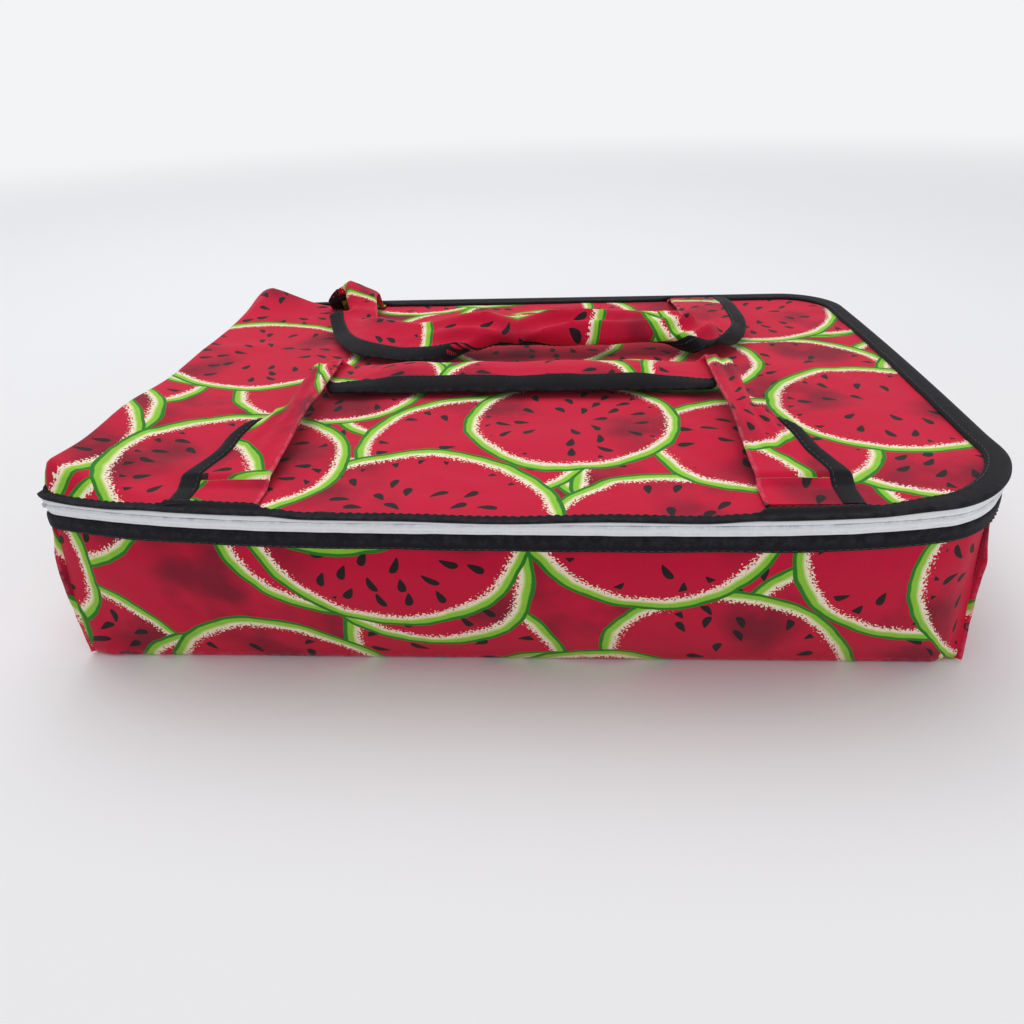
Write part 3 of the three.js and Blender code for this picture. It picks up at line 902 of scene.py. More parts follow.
@dataclass(frozen=True)
class ClothFinish:
    """A woven cloth in one colour or with a print."""

    slot: Slot
    colour: tuple[int, int, int]
    # Colour of rubbed places; on the zip tape it is the colour of its painted shade.
    worn_and_shaded: tuple[int, int, int]
    effects: Effects
    pattern: Tree | None = None
    thread: float = 0.00042
    bump: float = 0.00006
    mottle: float = 0.12
    roughness: float = 0.82
    sheen: float = 0.08
    # How strongly rubbing shows; on the zip tape, how strongly its painted shade shows.
    wear_and_shade: float = 0.5

    def build(self) -> Look:
        """Build the material.

        Returns:
            The material and its slot.
        """
        material, w, shader = new_material(self.slot.value)
        place = w.node("UVMap", uv_map="cloth_map").outputs[0]
        colour = linear(*self.colour)
        if self.pattern:
            colour = w.node("Group", {"Vector": place}, node_tree=self.pattern).outputs[0]
        weave = w.node("Group", {"Vector": place, "Thread": self.thread},
                       node_tree=self.effects.weave).outputs
        uneven = w.steps(weave["Uneven"], 0.3, 0.7)
        tone = w.math("ADD", ("ADD", ("MULTIPLY", uneven, self.mottle),
                              ("MULTIPLY", w.noise(place, 9.0, 3.0), self.mottle)), 1.0 - self.mottle)
        toned = w.mix(1.0, colour, w.joined(tone, tone, tone), "MULTIPLY")
        # Rubbed places, and painted shade on the zip tapes, take the second colour.
        fade = w.node("Group", {"Vector": place, "Amount": self.wear_and_shade, "Wear_and_shade": w.node(
            "Attribute", attribute_name="wear_and_shade").outputs["Fac"]}, node_tree=self.effects.fade)
        height = w.math("ADD", ("MULTIPLY", weave["Height"], self.bump),
                        ("MULTIPLY", w.noise(place, 70.0, 3.0), self.bump * 6))
        w.feed(shader, {"Base Color": w.mix(fade.outputs[0], toned, linear(*self.worn_and_shaded)),
                        "Roughness": w.math("ADD", ("MULTIPLY", uneven, 0.12), self.roughness - 0.06),
                        "Normal": w.bump(height), "Sheen Weight": self.sheen, "Sheen Roughness": 0.5,
                        "Specular IOR Level": 0.2})
        return material, self.slot


@dataclass(frozen=True)
class HardFinish:
    """Metal, plastic or board, read from the object's own coordinates."""

    slot: Slot
    colour: tuple[int, int, int]
    other: tuple[int, int, int]
    metallic: float = 0.0
    roughness: float = 0.4
    scale: float = 400.0
    bump: float = 0.00002
    name: str = ""

    def build(self) -> Look:
        """Build the material.

        Returns:
            The material and its slot.
        """
        material, w, shader = new_material(self.name or self.slot.value)
        place = w.node("TexCoord").outputs["Object"]
        grain = w.noise(w.node("Mapping", {0: place, 3: (0.15, 1.0, 1.0)}).outputs[0], self.scale, 4.0, 0.6)
        colour = w.mix(w.steps(grain, 0.35, 0.7), linear(*self.colour), linear(*self.other))
        w.feed(shader, {"Base Color": colour, "Metallic": self.metallic,
                        "Roughness": w.math("ADD", ("MULTIPLY", grain, 0.25), self.roughness - 0.12),
                        "Normal": w.bump(w.math("MULTIPLY", grain, self.bump))})
        return material, self.slot


class Finishes:
    """All the finishes of the bag."""

    def __init__(self) -> None:
        """Build every finish."""
        effects = Effects()
        self.cotton = ClothFinish(Slot.PRINT, (196, 22, 58), (226, 110, 130), effects,
                                  pattern=DiscPrint().build()).build()
        self.binding = ClothFinish(Slot.BINDING, (19, 18, 23), (62, 60, 70), effects, thread=0.0005,
                                   sheen=0.04, roughness=0.9, mottle=0.2).build()
        self.lining = ClothFinish(Slot.LINING, (228, 225, 216), (200, 192, 178), effects, mottle=0.06,
                                  wear_and_shade=0.3).build()
        self.wadding = ClothFinish(Slot.WADDING, (236, 233, 226), (214, 208, 196), effects, thread=0.0016,
                                   bump=0.0002, mottle=0.1, roughness=0.95).build()
        # The tape's darker second colour is painted shade along the meeting line of the two tapes.
        self.tape = ClothFinish(Slot.TAPE, (246, 247, 250), (205, 209, 216), effects, thread=0.0006,
                                bump=0.00005, mottle=0.05, roughness=0.6, wear_and_shade=0.9).build()
        self.thread = HardFinish(Slot.BINDING, (24, 23, 28), (48, 46, 54), roughness=0.6,
                                 name="black_thread").build()
        self.coil = HardFinish(Slot.COIL, (214, 221, 230), (196, 204, 214), roughness=0.35).build()
        self.metal = HardFinish(Slot.METAL, (190, 192, 196), (150, 152, 158), metallic=1.0,
                                roughness=0.32).build()
        self.board = HardFinish(Slot.BOARD, (140, 130, 116), (122, 112, 98), roughness=0.8,
                                scale=180.0).build()


# The base


@dataclass
class Base:
    """Walls, floor, corner seams and the rim's binding."""

    bag: BagShape
    finish: Finishes
    wadding: float = 0.005
    gap: float = 0.0005
    lining: float = 0.0008
    foot_tuck: float = 0.0013
    foot_height: float = 0.0034
    fold_map: float = 0.11
    fullness: float = 0.5
    pinch: float = 0.0036
    pinch_reach: float = 0.0042
    pucker: float = 0.00022
    left_top: float = 0.0762
    lining_top: float = 0.08095
    lining_roll: float = 0.0036
    lining_foot: float = 0.0092
    wall_foot: float = 0.0016
    seam_top: float = 0.0712
    seam_rows: int = 46
    seam_width: float = 0.0048
    floor_radius: float = 0.024
    floor_inset: float = 0.0086
    plate_rings: int = 10
    sides: tuple[str, ...] = ("front", "right", "back", "left")
    print_shift: tuple[tuple[float, float], ...] = ((0.02, 0.01), (0.31, 0.22), (0.53, 0.41), (0.0, 0.0))

    def wall_rows(self, top: float) -> Array:
        """Heights of a wall's rows, close together at the foot."""
        low = np.array([0.0004, 0.0007, 0.0012, 0.002, 0.0032])
        return np.concatenate([low, np.linspace(0.005, top, 34)])

    def cloth_inset(self, z: float, side: int, share: Array, along: Array) -> Array:
        """How far a wall's cloth lies inside the bag's plain outline.

        Args:
            z: Height.
            side: Which wall.
            share: Share of the way along the wall.
            along: Distance along the wall.

        Returns:
            The inset at each station.
        """
        tuck = self.foot_tuck * (1 - smoothstep(0, self.foot_height, z)) ** 1.4
        body = float(smoothstep(0.004, 0.022, z) * (1 - smoothstep(0.058, self.seam_top, z)))
        ends = smoothstep(0, 0.05, share) * (1 - smoothstep(0.95, 1, share))
        soft = (ripple(along, 0.118, 11 + side) + 0.7 * ripple(along + 1.1 * z, 0.061, 21 + side)) * 0.0005
        soft = soft + ripple(along - 0.4 * z, 0.031, 31 + side) * 0.00018
        fullness = -0.0011 if side != 3 else 0.0003
        soft = fullness * ends + (np.abs(soft) if side == 3 else soft)
        near = exp(-((z - self.seam_top) / 0.006) ** 2) + exp(-((z - 0.004) / 0.005) ** 2)
        pucker = self.pucker * near * (0.6 + ripple(along, 0.0125, 41 + side))
        from_corner = np.minimum(along, along[-1] - along)
        pinch = self.pinch * np.exp(-from_corner / self.pinch_reach) * float(1 - smoothstep(0.02, 0.0715, z))
        return tuck + body * soft * (0.25 + 0.75 * ends) + np.abs(pucker) - pinch

    def build_wall(self, side: int) -> None:
        """Build one wall's cloth, wadding and lining.

        Args:
            side: 0 front, 1 right, 2 back, 3 left.
        """
        bag, name, look = self.bag, self.sides[side], self.finish
        last = bag.middles[side + 1] if side < 3 else bag.middles[0] + bag.count
        span = bag.span(bag.middles[side], last)
        length = travelled(bag.ring(bag.wall_height)[span])
        share = length / length[-1]

        def grid(rows: Sequence[tuple[float, object]]) -> Array:
            """Rings of points, cut to this wall.

            Args:
                rows: Height and inset of each ring.

            Returns:
                The rings.
            """
            made = []
            for z, inset in rows:
                whole = np.zeros(bag.count)
                whole[span] = inset
                made.append(bag.ring(z, whole)[span])
            return np.array(made)

        heights = self.wall_rows(bag.wall_height if side != 3 else self.left_top)
        insets = [self.cloth_inset(z, side, share, length) for z in heights]
        outer = grid(list(zip(heights, insets)))
        inner = grid([(z, inset + bag.cloth) for z, inset in zip(heights, insets)])
        shift = self.print_shift[side]
        if side == 3:
            chart = paired(heights[:, None] + self.fold_map, -outer[:, :, 1])
        else:
            chart = paired(length + shift[0], heights + shift[1])
        wear_and_shade = (1 - smoothstep(0.0, 0.006, heights))[:, None]
        cloth = dress(slab(f"{name}_wall_cloth", outer, inner, chart, wear_and_shade), look.cotton,
                      [f"{name}_wall_outer_panel"], Body.BASE)
        start = bag.cloth + self.gap
        rows = np.linspace(self.wall_foot, 0.08, 12)
        fill = slab(f"{name}_wall_filling", grid([(z, start) for z in rows]),
                    grid([(z, start + self.wadding) for z in rows]), paired(length, rows))
        dress(fill, look.wadding, [f"{name}_wall_wadding"], Body.BASE)
        lining = self.build_lining(name, grid, length)
        declare_sheet(cloth)
        declare_sheet(lining)

    def build_lining(self, name: str, grid: Callable[[Sequence], Array], length: Array) -> Piece:
        """Build a wall's lining, which folds out over the wadding's top edge.

        Args:
            name: The wall's name.
            grid: Makes rings of points from heights and insets.
            length: Distance along the wall of each station.

        Returns:
            The lining.
        """
        face = self.bag.cloth + 2 * self.gap + self.wadding + 0.0006
        top, reach = self.lining_top, self.lining_roll
        puffs = np.abs(ripple(length, 0.083, 61)) * 0.0004
        profile = [(z, face + 0.0002) for z in np.linspace(self.lining_foot, 0.0763, 22)]
        profile += [(top - reach + reach * sin(turn), face - reach + reach * cos(turn))
                    for turn in np.linspace(0, pi / 2, 7)]
        profile += [(top, inset) for inset in (0.0028, 0.0016, 0.0004)]
        shift = [smoothstep(0.012, 0.03, z) * (1 - smoothstep(0.058, 0.075, z)) for z, _ in profile]
        inner = grid([(z, inset - s * puffs) for (z, inset), s in zip(profile, shift)])
        back = []
        rows = zip(profile[:1] + profile, profile, profile[1:] + profile[-1:], shift)
        for before, (z, inset), after, s in rows:
            dz, di = after[0] - before[0], after[1] - before[1]
            thick = self.lining / hypot(dz, di)
            back.append((z + di * thick, inset - dz * thick - s * puffs))
        chart = paired(length, travelled(np.array(profile)))
        piece = slab(f"{name}_wall_lining_cloth", inner, grid(back), chart)
        return dress(piece, self.finish.lining, [f"{name}_wall_lining"], Body.BASE)

    def plate(self, name: str, outline: Array, inset: float, foot: float, top: float, crown: float
              ) -> Piece:
        """A level layer that fills an outline, slightly crowned.

        Args:
            name: The piece's name.
            outline: The outline that it fills.
            inset: Distance inwards from it.
            foot: Height of its underside.
            top: Height of its edge's upper side.
            crown: How much its middle stands higher.

        Returns:
            The layer.
        """
        edge = self.bag.ring(foot, inset, outline)[:, :2]
        middle = self.bag.centre - np.array([self.bag.lean, 0.0])
        shares = 1 - np.linspace(0, 1, self.plate_rings + 1) * 0.998
        level = middle + (edge - middle) * shares[:, None, None]
        up = raised(level, (top + crown * (1 - shares ** 4))[:, None])
        closed = np.concatenate([raised(level, foot)[::-1], up], 0)
        return tube(name, closed, np.concatenate([closed, closed[:, :1]], 1)[:, :, :2])

    def build_floor(self) -> None:
        """Build the layers of the floor."""
        low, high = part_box("floor_lining")
        look = self.finish
        inner = (self.bag.rounded([self.floor_radius] * 4), self.floor_inset)
        layers = (
            ("bottom_cloth", "bottom_outer_panel", look.cotton, (self.bag.foot, 0.0022), 0.0, 0.0011, 0.0),
            ("floor_filling", "floor_wadding", look.wadding, inner, 0.0043, 0.0082, 0.0001),
            ("floor_lining_cloth", "floor_lining", look.lining, inner, low.z, high.z - 0.0002, 0.0002),
            ("base_board", "base_stiffener_board", look.board, inner, 0.0015, 0.004, 0.0))
        bottom, fill, lining, _ = (
            dress(self.plate(name, *edge, *heights), finish, [node], Body.BASE)
            for name, node, finish, edge, *heights in layers)
        declare_sheet(bottom)
        declare_sheet(lining)

    def build_seam(self, corner: int) -> None:
        """Build the pinched seam that stands out along one upright corner, and its stitches.

        Args:
            corner: Number of the corner, from the front left one.
        """
        name = ("front_left", "front_right", "back_right", "back_left")[corner]
        bag, station = self.bag, self.bag.middles[corner]
        heights = np.linspace(self.wall_foot, self.seam_top, self.seam_rows)
        half = [(-0.0002, -0.0008), (0.0012, -0.0009), (0.003, -0.00085), (0.0041, -0.0007),
                (0.0047, -0.0003)]
        section = half + [(self.seam_width, 0.0)] + [(a, -b) for a, b in reversed(half)]
        rings, stitches, ups = [], [], []
        for z in heights:
            here = bag.ring(z)[station]
            out = unit(bag.ring(z, -0.001)[station] - here)
            side = np.array([-out[1], out[0], 0.0])
            lean = 0.0007 * float(ripple(z, 0.045, 71 + corner))
            reach = 1 + 0.06 * float(ripple(z, 0.02, 81 + corner))
            reach -= 0.72 * float(smoothstep(0.05, self.seam_top, z))
            rings.append([here + out * a * reach + side * (b + lean * max(a, 0) / self.seam_width)
                          for a, b in section])
            stitches.append(here + out * 0.0016 * reach - side * 0.0009)
            ups.append(-side)
        run = np.append(travelled(np.array(section)), 0.011)
        dress(tube(f"{name}_seam_cloth", np.array(rings), paired(run + 0.07 * corner, heights),
                   np.array([a > 0.004 for a, _ in section], float)),
              self.finish.cotton, [f"{name}_corner_seam"], Body.BASE)
        stitch_row(f"{name}_seam_stitches", np.array(stitches), np.array(ups), self.finish.thread, Body.BASE,
                   pitch=0.0028, length=0.002)

    def build_rim_binding(self) -> None:
        """Build the black binding that folds over the walls' top edge, and its stitches."""
        bag, span, along = self.bag, self.bag.zip_span, self.bag.along
        foot, top = bag.wall_height - 0.0062, bag.wall_height + 0.0014
        section = [(-0.0004, foot), (-0.0012, foot + 0.0001), (-0.00165, foot + 0.0008),
                   (-0.00175, foot + 0.0024), (-0.0018, foot + 0.0044), (-0.00165, top - 0.0017),
                   (-0.0012, top - 0.0006), (-0.0004, top), (0.0010, top), (0.0012, top - 0.0008),
                   (-0.0002, top - 0.0011), (-0.0003, foot + 0.0044), (-0.0003, foot + 0.0020)]
        pucker = np.abs(0.00022 * ripple(along, 0.011, 91))
        droop = 0.00035 * ripple(along, 0.07, 92)
        rings = []
        for inset, z in section:
            low = float(1 - smoothstep(foot + 0.001, foot + 0.006, z))
            outer = 1.0 if inset < -0.001 else 0.0
            rings.append(bag.ring(z + droop * low, inset - pucker * outer * (0.4 + 0.6 * low))[span])
        run = np.append(travelled(np.array(section)), 0.026)
        wear_and_shade = np.array([0.8 if 4 <= i <= 6 else 0.15 for i in range(len(section))])
        dress(tube("rim_binding_cloth", np.stack(rings, 1), paired(run, along[span]), wear_and_shade),
              self.finish.binding, ["body_rim_binding"], Body.BASE, 70)
        path = bag.ring(foot + 0.0013 + droop, -0.00172 - pucker * 0.9)[span][3:-3]
        stitch_row("rim_binding_stitches", path, bag.outward[span][3:-3], self.finish.thread, Body.BASE)

    def build(self) -> None:
        """Build everything that rides on the base."""
        for side in range(4):
            self.build_wall(side)
        self.build_floor()
        for corner in range(4):
            self.build_seam(corner)
        self.build_rim_binding()


# The lid


@dataclass
class Lid:
    """Lid cloth with its hinge fold, filling, lining and binding."""

    bag: BagShape
    surface: LidSurface
    finish: Finishes
    fold_map: float = 0.11
    fold_radius: float = 0.0048
    fold_foot: float = 0.0763
    fold_start: float = 0.0836
    fold_wear: float = 0.22
    fullness: float = 0.5
    fold_pitch: float = 0.0015
    fold_rows: int = 10
    rows: int = 132
    columns: int = 190
    layer_inset: float = 0.0018
    layer_fold_inset: float = 0.0068
    layer_rows: int = 44
    layer_columns: int = 60
    back_tuck: float = 0.013
    tuck_reach: float = 0.04
    front_binding_share: float = 0.14
    tail_binding_share: float = 0.3
    hump_height: float = 0.0013
    front_binding_height: float = 0.55
    side_binding_share: float = 0.62

    def patch(self, inset: float, left_inset: float, across: int, deep: int) -> Array:
        """Level places that fill the lid, row by row from the front.

        Args:
            inset: Distance inwards from the front, right and back edges.
            left_inset: Distance inwards from the fold.
            across: Number of columns.
            deep: Number of rows.

        Returns:
            Rows by columns by 2.
        """
        bag = self.bag
        near = bag.ring(bag.wall_height, inset)[:, :2]
        m = bag.middles
        fold = bag.centre[0] - bag.width / 2 + left_inset

        def from_fold(part: Array, start: float) -> Array:
            """The part of a line that lies inside the fold's line, which it meets.

            Args:
                part: Points of the line.
                start: Where the fold's line lies along X.

            Returns:
                The points that are kept.
            """
            kept = part[part[:, 0] > start + 0.0002]
            first = [start, np.interp(start, part[:, 0], part[:, 1])]
            return np.concatenate([[first], kept])

        front = evenly(from_fold(near[bag.span(m[0], m[1])], fold), across)
        right = evenly(near[bag.span(m[1], m[2])], deep)
        back = evenly(from_fold(near[bag.span(m[2], m[3])][::-1], fold + self.back_tuck), across)
        share = np.linspace(0, 1, deep)
        level = front[0, 1] + (back[0, 1] - front[0, 1]) * share
        tuck = self.back_tuck * np.exp(-((level - level[-1]) / self.tuck_reach) ** 2)
        left = np.stack([fold + tuck, level], -1)
        s = np.linspace(0, 1, across)[None, :, None]
        t = np.linspace(0, 1, deep)[:, None, None]
        ruled = (1 - t) * front[None] + t * back[None] + (1 - s) * left[:, None] + s * right[:, None]
        corners = (1 - s) * (1 - t) * left[0] + s * (1 - t) * right[0] + (1 - s) * t * left[-1]
        return ruled - (corners + s * t * right[-1])

    def build_cloth(self) -> None:
        """Build the printed cloth over the lid and down over the hinge fold."""
        bag, pitch, deep, bent = self.bag, self.fold_pitch, self.rows, self.fold_rows
        top = self.patch(0.0003, self.fold_radius, self.columns, deep)
        face = raised(top, self.surface.height(top[..., 0], top[..., 1]))
        first = face[:, 0]
        edge = bag.ring(bag.wall_height)[bag.span(bag.middles[3], bag.middles[0] + bag.count)][::-1, :2]
        edge = evenly(edge, deep)
        places = list(np.linspace(self.fold_foot, self.fold_start, bent))
        columns = [raised(edge, low) for low in places]
        for k, turn in enumerate(np.linspace(0, pi / 2, bent + 2)[1:-1]):
            level = edge + (first[:, :2] - edge) * (1 - cos(turn))
            columns.append(raised(level, self.fold_start + (first[:, 2] - self.fold_start) * sin(turn)))
            places.append(self.fold_start + pitch * (k + 1))
        face = np.concatenate([np.stack(columns, 1), face], 1)
        u = np.concatenate([np.broadcast_to(np.array(places) + self.fold_map, (deep, len(places))),
                            places[-1] + pitch + self.fold_map + (top[..., 0] - top[:, :1, 0])], 1)
        out = unit(np.cross(np.gradient(face, axis=1), np.gradient(face, axis=0)))
        wear_and_shade = np.zeros(face.shape[1])
        wear_and_shade[bent:2 * bent] = self.fold_wear
        cloth = slab("lid_cloth", face, face - out * bag.cloth, np.stack([u, -face[..., 1]], -1), wear_and_shade)
        declare_sheet(cloth)
        dress(cloth, self.finish.cotton, ["lid_outer_panel", "hinge_fold_strip"], degrees=60)
        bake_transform(cloth)

    def build_layers(self) -> None:
        """Build the lid's filling and its lining."""
        plan = self.patch(self.layer_inset, self.layer_fold_inset, self.layer_columns, self.layer_rows)
        x, y = plan[..., 0], plan[..., 1]
        low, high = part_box("lid_lining")
        top = self.surface.height(x, y) - self.bag.cloth - 0.0006
        fill = slab("lid_filling", raised(plan, top), raised(plan, high.z + 0.0003), plan)
        dress(fill, self.finish.wadding, ["lid_wadding"], Body.LID)
        soft = np.abs(ripple(x, 0.09, 7) * ripple(y, 0.07, 8)) * 0.00025
        lining = slab("lid_lining_cloth", raised(plan, low.z + soft), raised(plan, high.z), plan)
        dress(lining, self.finish.lining, ["lid_lining"], Body.LID)
        declare_sheet(lining)

    def hump(self, points: Array) -> Array:
        """How much the binding stands higher where it runs over the ends of the straps.

        Args:
            points: Places on the lid.

        Returns:
            The heights.
        """
        lift = np.zeros(len(points))
        for tail in ("front_strap_left", "front_strap_right", "back_strap_left", "back_strap_right"):
            low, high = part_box(f"{tail}_tail")
            near = (points[:, 1] > 0) == (high.y > 0)
            beyond = np.maximum(low.x - points[:, 0], points[:, 0] - high.x)
            lift = np.maximum(lift, near * (1 - smoothstep(-0.001, 0.006, beyond)))
        return lift * self.hump_height

    def binding_share(self, place: Array) -> Array:
        """Share of the binding's full width that shows on the lid.

        It is small at the front, where the binding rolls over the edge, and larger where it runs
        over the ends of the straps.

        Args:
            place: Points of the lid's edge.

        Returns:
            The share at each.
        """
        x, y = place[:, 0] - self.bag.centre[0], place[:, 1] - self.bag.centre[1]
        narrower = self.side_binding_share - self.front_binding_share
        front = 1 - smoothstep(-0.118, -0.1, y)
        share = self.side_binding_share - front * narrower * (1 - smoothstep(0.1, 0.19, x))
        share = share - (1 - front) * narrower * (1 - smoothstep(0.02, 0.07, x + self.bag.width / 2))
        return np.maximum(share, self.tail_binding_share * self.hump(place) / self.hump_height)

    def build_binding(self) -> None:
        """Build the black binding round three sides of the lid, and its stitches."""
        bag, lid = self.bag, self.bag.lid_top
        span, along = bag.zip_span, bag.along
        pucker = 0.00025 * ripple(along, 0.013, 101)
        upper = [(-0.0013, -0.0012), (-0.0021, -0.0009), (-0.0024, 0.0), (-0.0022, 0.0009), (-0.0014, 0.0016),
                 (0.0002, 0.0018), (0.003, 0.0018), (0.006, 0.0017), (0.009, 0.0016), (0.0112, 0.0014),
                 (0.0121, 0.0009), (0.0123, 0.0003)]
        lower = [(0.0117, 0.0001), (0.009, 0.0002), (0.006, 0.0003), (0.003, 0.0003), (0.0004, 0.0002),
                 (-0.0010, 0.0001), (-0.0012, -0.0006)]
        section = upper + lower
        place = bag.ring(lid)
        share = self.binding_share(place)
        full = (share - self.front_binding_share) / (self.side_binding_share - self.front_binding_share)
        full = self.front_binding_height + (1 - self.front_binding_height) * np.clip(full, 0, 1)
        drop = self.surface.edge_drop(place[:, 0], place[:, 1])
        rings = []
        for i, (inset, lift) in enumerate(section):
            level = bag.ring(lid, np.where(inset > 0.0002, 0.0002 + (inset - 0.0002) * share, inset))
            follow = float(smoothstep(-0.0015, 0.002, inset))
            ground = self.surface.height(level[:, 0], level[:, 1]) - (lid - 0.0002)
            edge = self.hump(level) * float(smoothstep(0.001, 0.006, inset))
            wave = pucker * (1.0 if i < len(upper) else 0.2) * float(smoothstep(-0.001, 0.004, inset))
            thick = full * (0.85 if lift < 0 else 1.0)
            z = lid + lift * thick + ground * follow - drop * (1 - follow) + edge + np.abs(wave)
            rings.append(raised(level[:, :2], z)[span])
        rings = np.stack(rings, 1)
        run = np.append(travelled(np.array(section)), 0.034)
        wear_and_shade = np.array([0.9 if 1 <= i <= 4 else 0.12 for i in range(len(section))])
        dress(tube("lid_binding_cloth", rings, paired(run, along[span]), wear_and_shade), self.finish.binding,
              ["lid_binding"], Body.LID, 70)
        path = (rings[:, 9] * 0.45 + rings[:, 8] * 0.55)[3:-3] + np.array([0, 0, 0.0001])
        up = np.broadcast_to([0.0, 0.0, 1.0], path.shape)
        stitch_row("lid_binding_stitches", path, up, self.finish.thread, Body.LID)

    def build(self) -> None:
        """Build everything that rides on the lid."""
        self.build_cloth()
        self.build_layers()
        self.build_binding()


# The zip


@dataclass
class Zip:
    """Tapes, coils, stops, slider and pull tab."""

    bag: BagShape
    surface: LidSurface
    finish: Finishes
    meeting: float = 0.08445
    tape: float = 0.0007
    tooth_pitch: float = 0.0017
    tooth_radius: float = 0.00034
    tooth_length: float = 0.0022
    tooth_waist: float = 0.0006
    coil_inset: float = 0.0006
    coil_margin: float = 0.006
    tape_gap: float = 0.00016
    plate: float = 0.0018
    arch_gap: float = 0.0022
    arch_bar: float = 0.0011
    arch_radius: float = 0.0027
    arch_width: float = 3.1

    def build_tape(self, side: str, foot: float, top: float) -> None:
        """Build one ribbed tape.

        Args:
            side: Whether it is the lower or the upper one.
            foot: Height of its lower edge.
            top: Height of its upper edge.
        """
        bag, span, along, meets_above = self.bag, self.bag.zip_span, self.bag.along, side == "lower"
        heights = foot + (top - foot) * np.linspace(0, 1, 17)
        from_meeting = (top - heights) if meets_above else (heights - foot)
        bulge = 0.0005 * np.exp(-((from_meeting - 0.0014) / 0.0010) ** 2)
        rib = 0.00008 * np.cos(from_meeting * 2 * pi / 0.0011)
        rolled = 0.00045 * np.exp(-(from_meeting / 0.0004) ** 2)
        face = -0.0009 - bulge - rib + rolled
        section = list(zip(face, heights)) + list(zip(face[::-1] + self.tape, heights[::-1]))
        wave = 0.00016 * ripple(along, 0.021, 111 if meets_above else 112)
        edge = bag.ring(top)
        drop = 0.0 if meets_above else self.surface.edge_drop(edge[:, 0], edge[:, 1])
        rings = []
        for inset, z in section:
            share = (z - foot) / (top - foot)
            fuller = 0.3 * drop * sin(pi * share)
            rings.append(bag.ring(z - drop * share, inset - wave - fuller)[span])
        run = np.array([z for _, z in section] + [section[0][1]])
        # Painted shade: the tape darkens along the meeting line between the two tapes; a fainter dark line
        # runs 3 mm from it.
        line = np.exp(-(from_meeting / 0.00055) ** 2)
        line = np.maximum(line, 0.55 * np.exp(-((from_meeting - 0.0030) / 0.0003) ** 2))
        tape = tube(f"{side}_tape_cloth", np.stack(rings, 1), paired(run, along[span]),
                    np.concatenate([line, line[::-1]]))
        dress(tape, self.finish.tape, [f"{side}_zip_tape"], Body.BASE if meets_above else Body.LID, 60)

    def tooth(self) -> Piece:
        """Model one turn of the coil.

        Returns:
            The tooth, at the origin, with its length along Z.
        """
        made = primitive(bpy.ops.mesh.primitive_cylinder_add, vertices=6, radius=self.tooth_radius,
                         depth=self.tooth_length, end_fill_type="NGON")
        bpy.ops.object.mode_set(mode="EDIT")
        for height in (self.tooth_waist, -self.tooth_waist):
            bpy.ops.mesh.select_all(action="SELECT")
            bpy.ops.mesh.bisect(plane_co=(0, 0, height), plane_no=(0, 0, 1))
        bpy.ops.mesh.select_all(action="DESELECT")
        bpy.ops.object.mode_set(mode="OBJECT")
        for vertex in made.data.vertices:
            if abs(vertex.co.z) < 0.001:
                vertex.co.y -= 0.0003
                vertex.co.x *= 1.12
            else:
                vertex.co.x *= 0.75
                vertex.co.y *= 0.75
        return made

    def build_coil(self, side: str, height: float, offset: float, body: Body) -> None:
        """Set copies of the tooth side by side along the zip, behind the tape.

        Args:
            side: Whether it is the lower or the upper one.
            height: Height of the teeth's middle.
            offset: How far the first tooth is moved along.
            body: The body that it rides on.
        """
        upwards = np.array([0.0, 0.0, 1.0])
        one = self.tooth()
        shape = np.array([v.co for v in one.data.vertices])
        faces = [list(p.vertices) for p in one.data.polygons]
        bpy.data.objects.remove(one)
        line = self.bag.ring(height, self.coil_inset)[self.bag.zip_span]
        along = travelled(line)
        places = np.arange(self.coil_margin + offset, along[-1] - self.coil_margin, self.tooth_pitch)
        centre = sampled(places, along, line)
        ahead = unit(sampled(places + 0.0005, along, line) - centre)
        inwards = np.cross(upwards, ahead)
        points = (centre[:, None] + shape[:, :1] * ahead[:, None] - shape[:, 1:2] * inwards[:, None]
                  + shape[:, 2:] * upwards)
        everything = [[i + k * len(shape) for i in face] for k in range(len(places)) for face in faces]
        coil = mesh_object(f"{side}_coil_teeth", points.reshape(-1, 3), everything)
        dress(coil, self.finish.coil, [f"{side}_zip_coil"], body, 60)

    def build_stop(self, end: str) -> None:
        """Model a crimped stop.

        Args:
            end: Which end of the zip it closes.
        """
        low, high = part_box(f"{end}_zip_stop")
        middle, half = (low + high) / 2, Vector(((high.x - low.x) * 0.45, (high.y - low.y) * 0.45, 0.0011))
        made = self.block(middle - half, middle + half, 0.0005)
        made.name = f"{end}_stop_crimp"
        dress(made, self.finish.metal, [f"{end}_zip_stop"], Body.BASE)

    @staticmethod
    def block(low: Sequence[float], high: Sequence[float], round_by: float) -> Piece:
        """Model a block with rounded edges.

        Args:
            low: Its lowest corner.
            high: Its highest corner.
            round_by: Width of its rounding.

        Returns:
            The block.
        """
        low, high = Vector(low), Vector(high)
        made = primitive(bpy.ops.mesh.primitive_cube_add, size=1, location=(low + high) / 2, scale=high - low)
        bevel = made.modifiers.new("round", "BEVEL")
        bevel.width, bevel.segments = round_by, 3
        bpy.ops.object.modifier_apply(modifier=bevel.name)
        return made

    @staticmethod
    def combine(made: Piece, other: Piece, operation: str) -> None:
        """Add a piece to another or cut it away.

        Args:
            made: The piece that is kept.
            other: The piece that is used up.
            operation: UNION or DIFFERENCE.
        """
        bpy.ops.object.select_all(action="DESELECT")
        bpy.context.view_layer.objects.active = made
        step = made.modifiers.new("step", "BOOLEAN")
        step.operation, step.object, step.solver = operation, other, "EXACT"
        bpy.ops.object.modifier_apply(modifier=step.name)
        bpy.data.objects.remove(other)

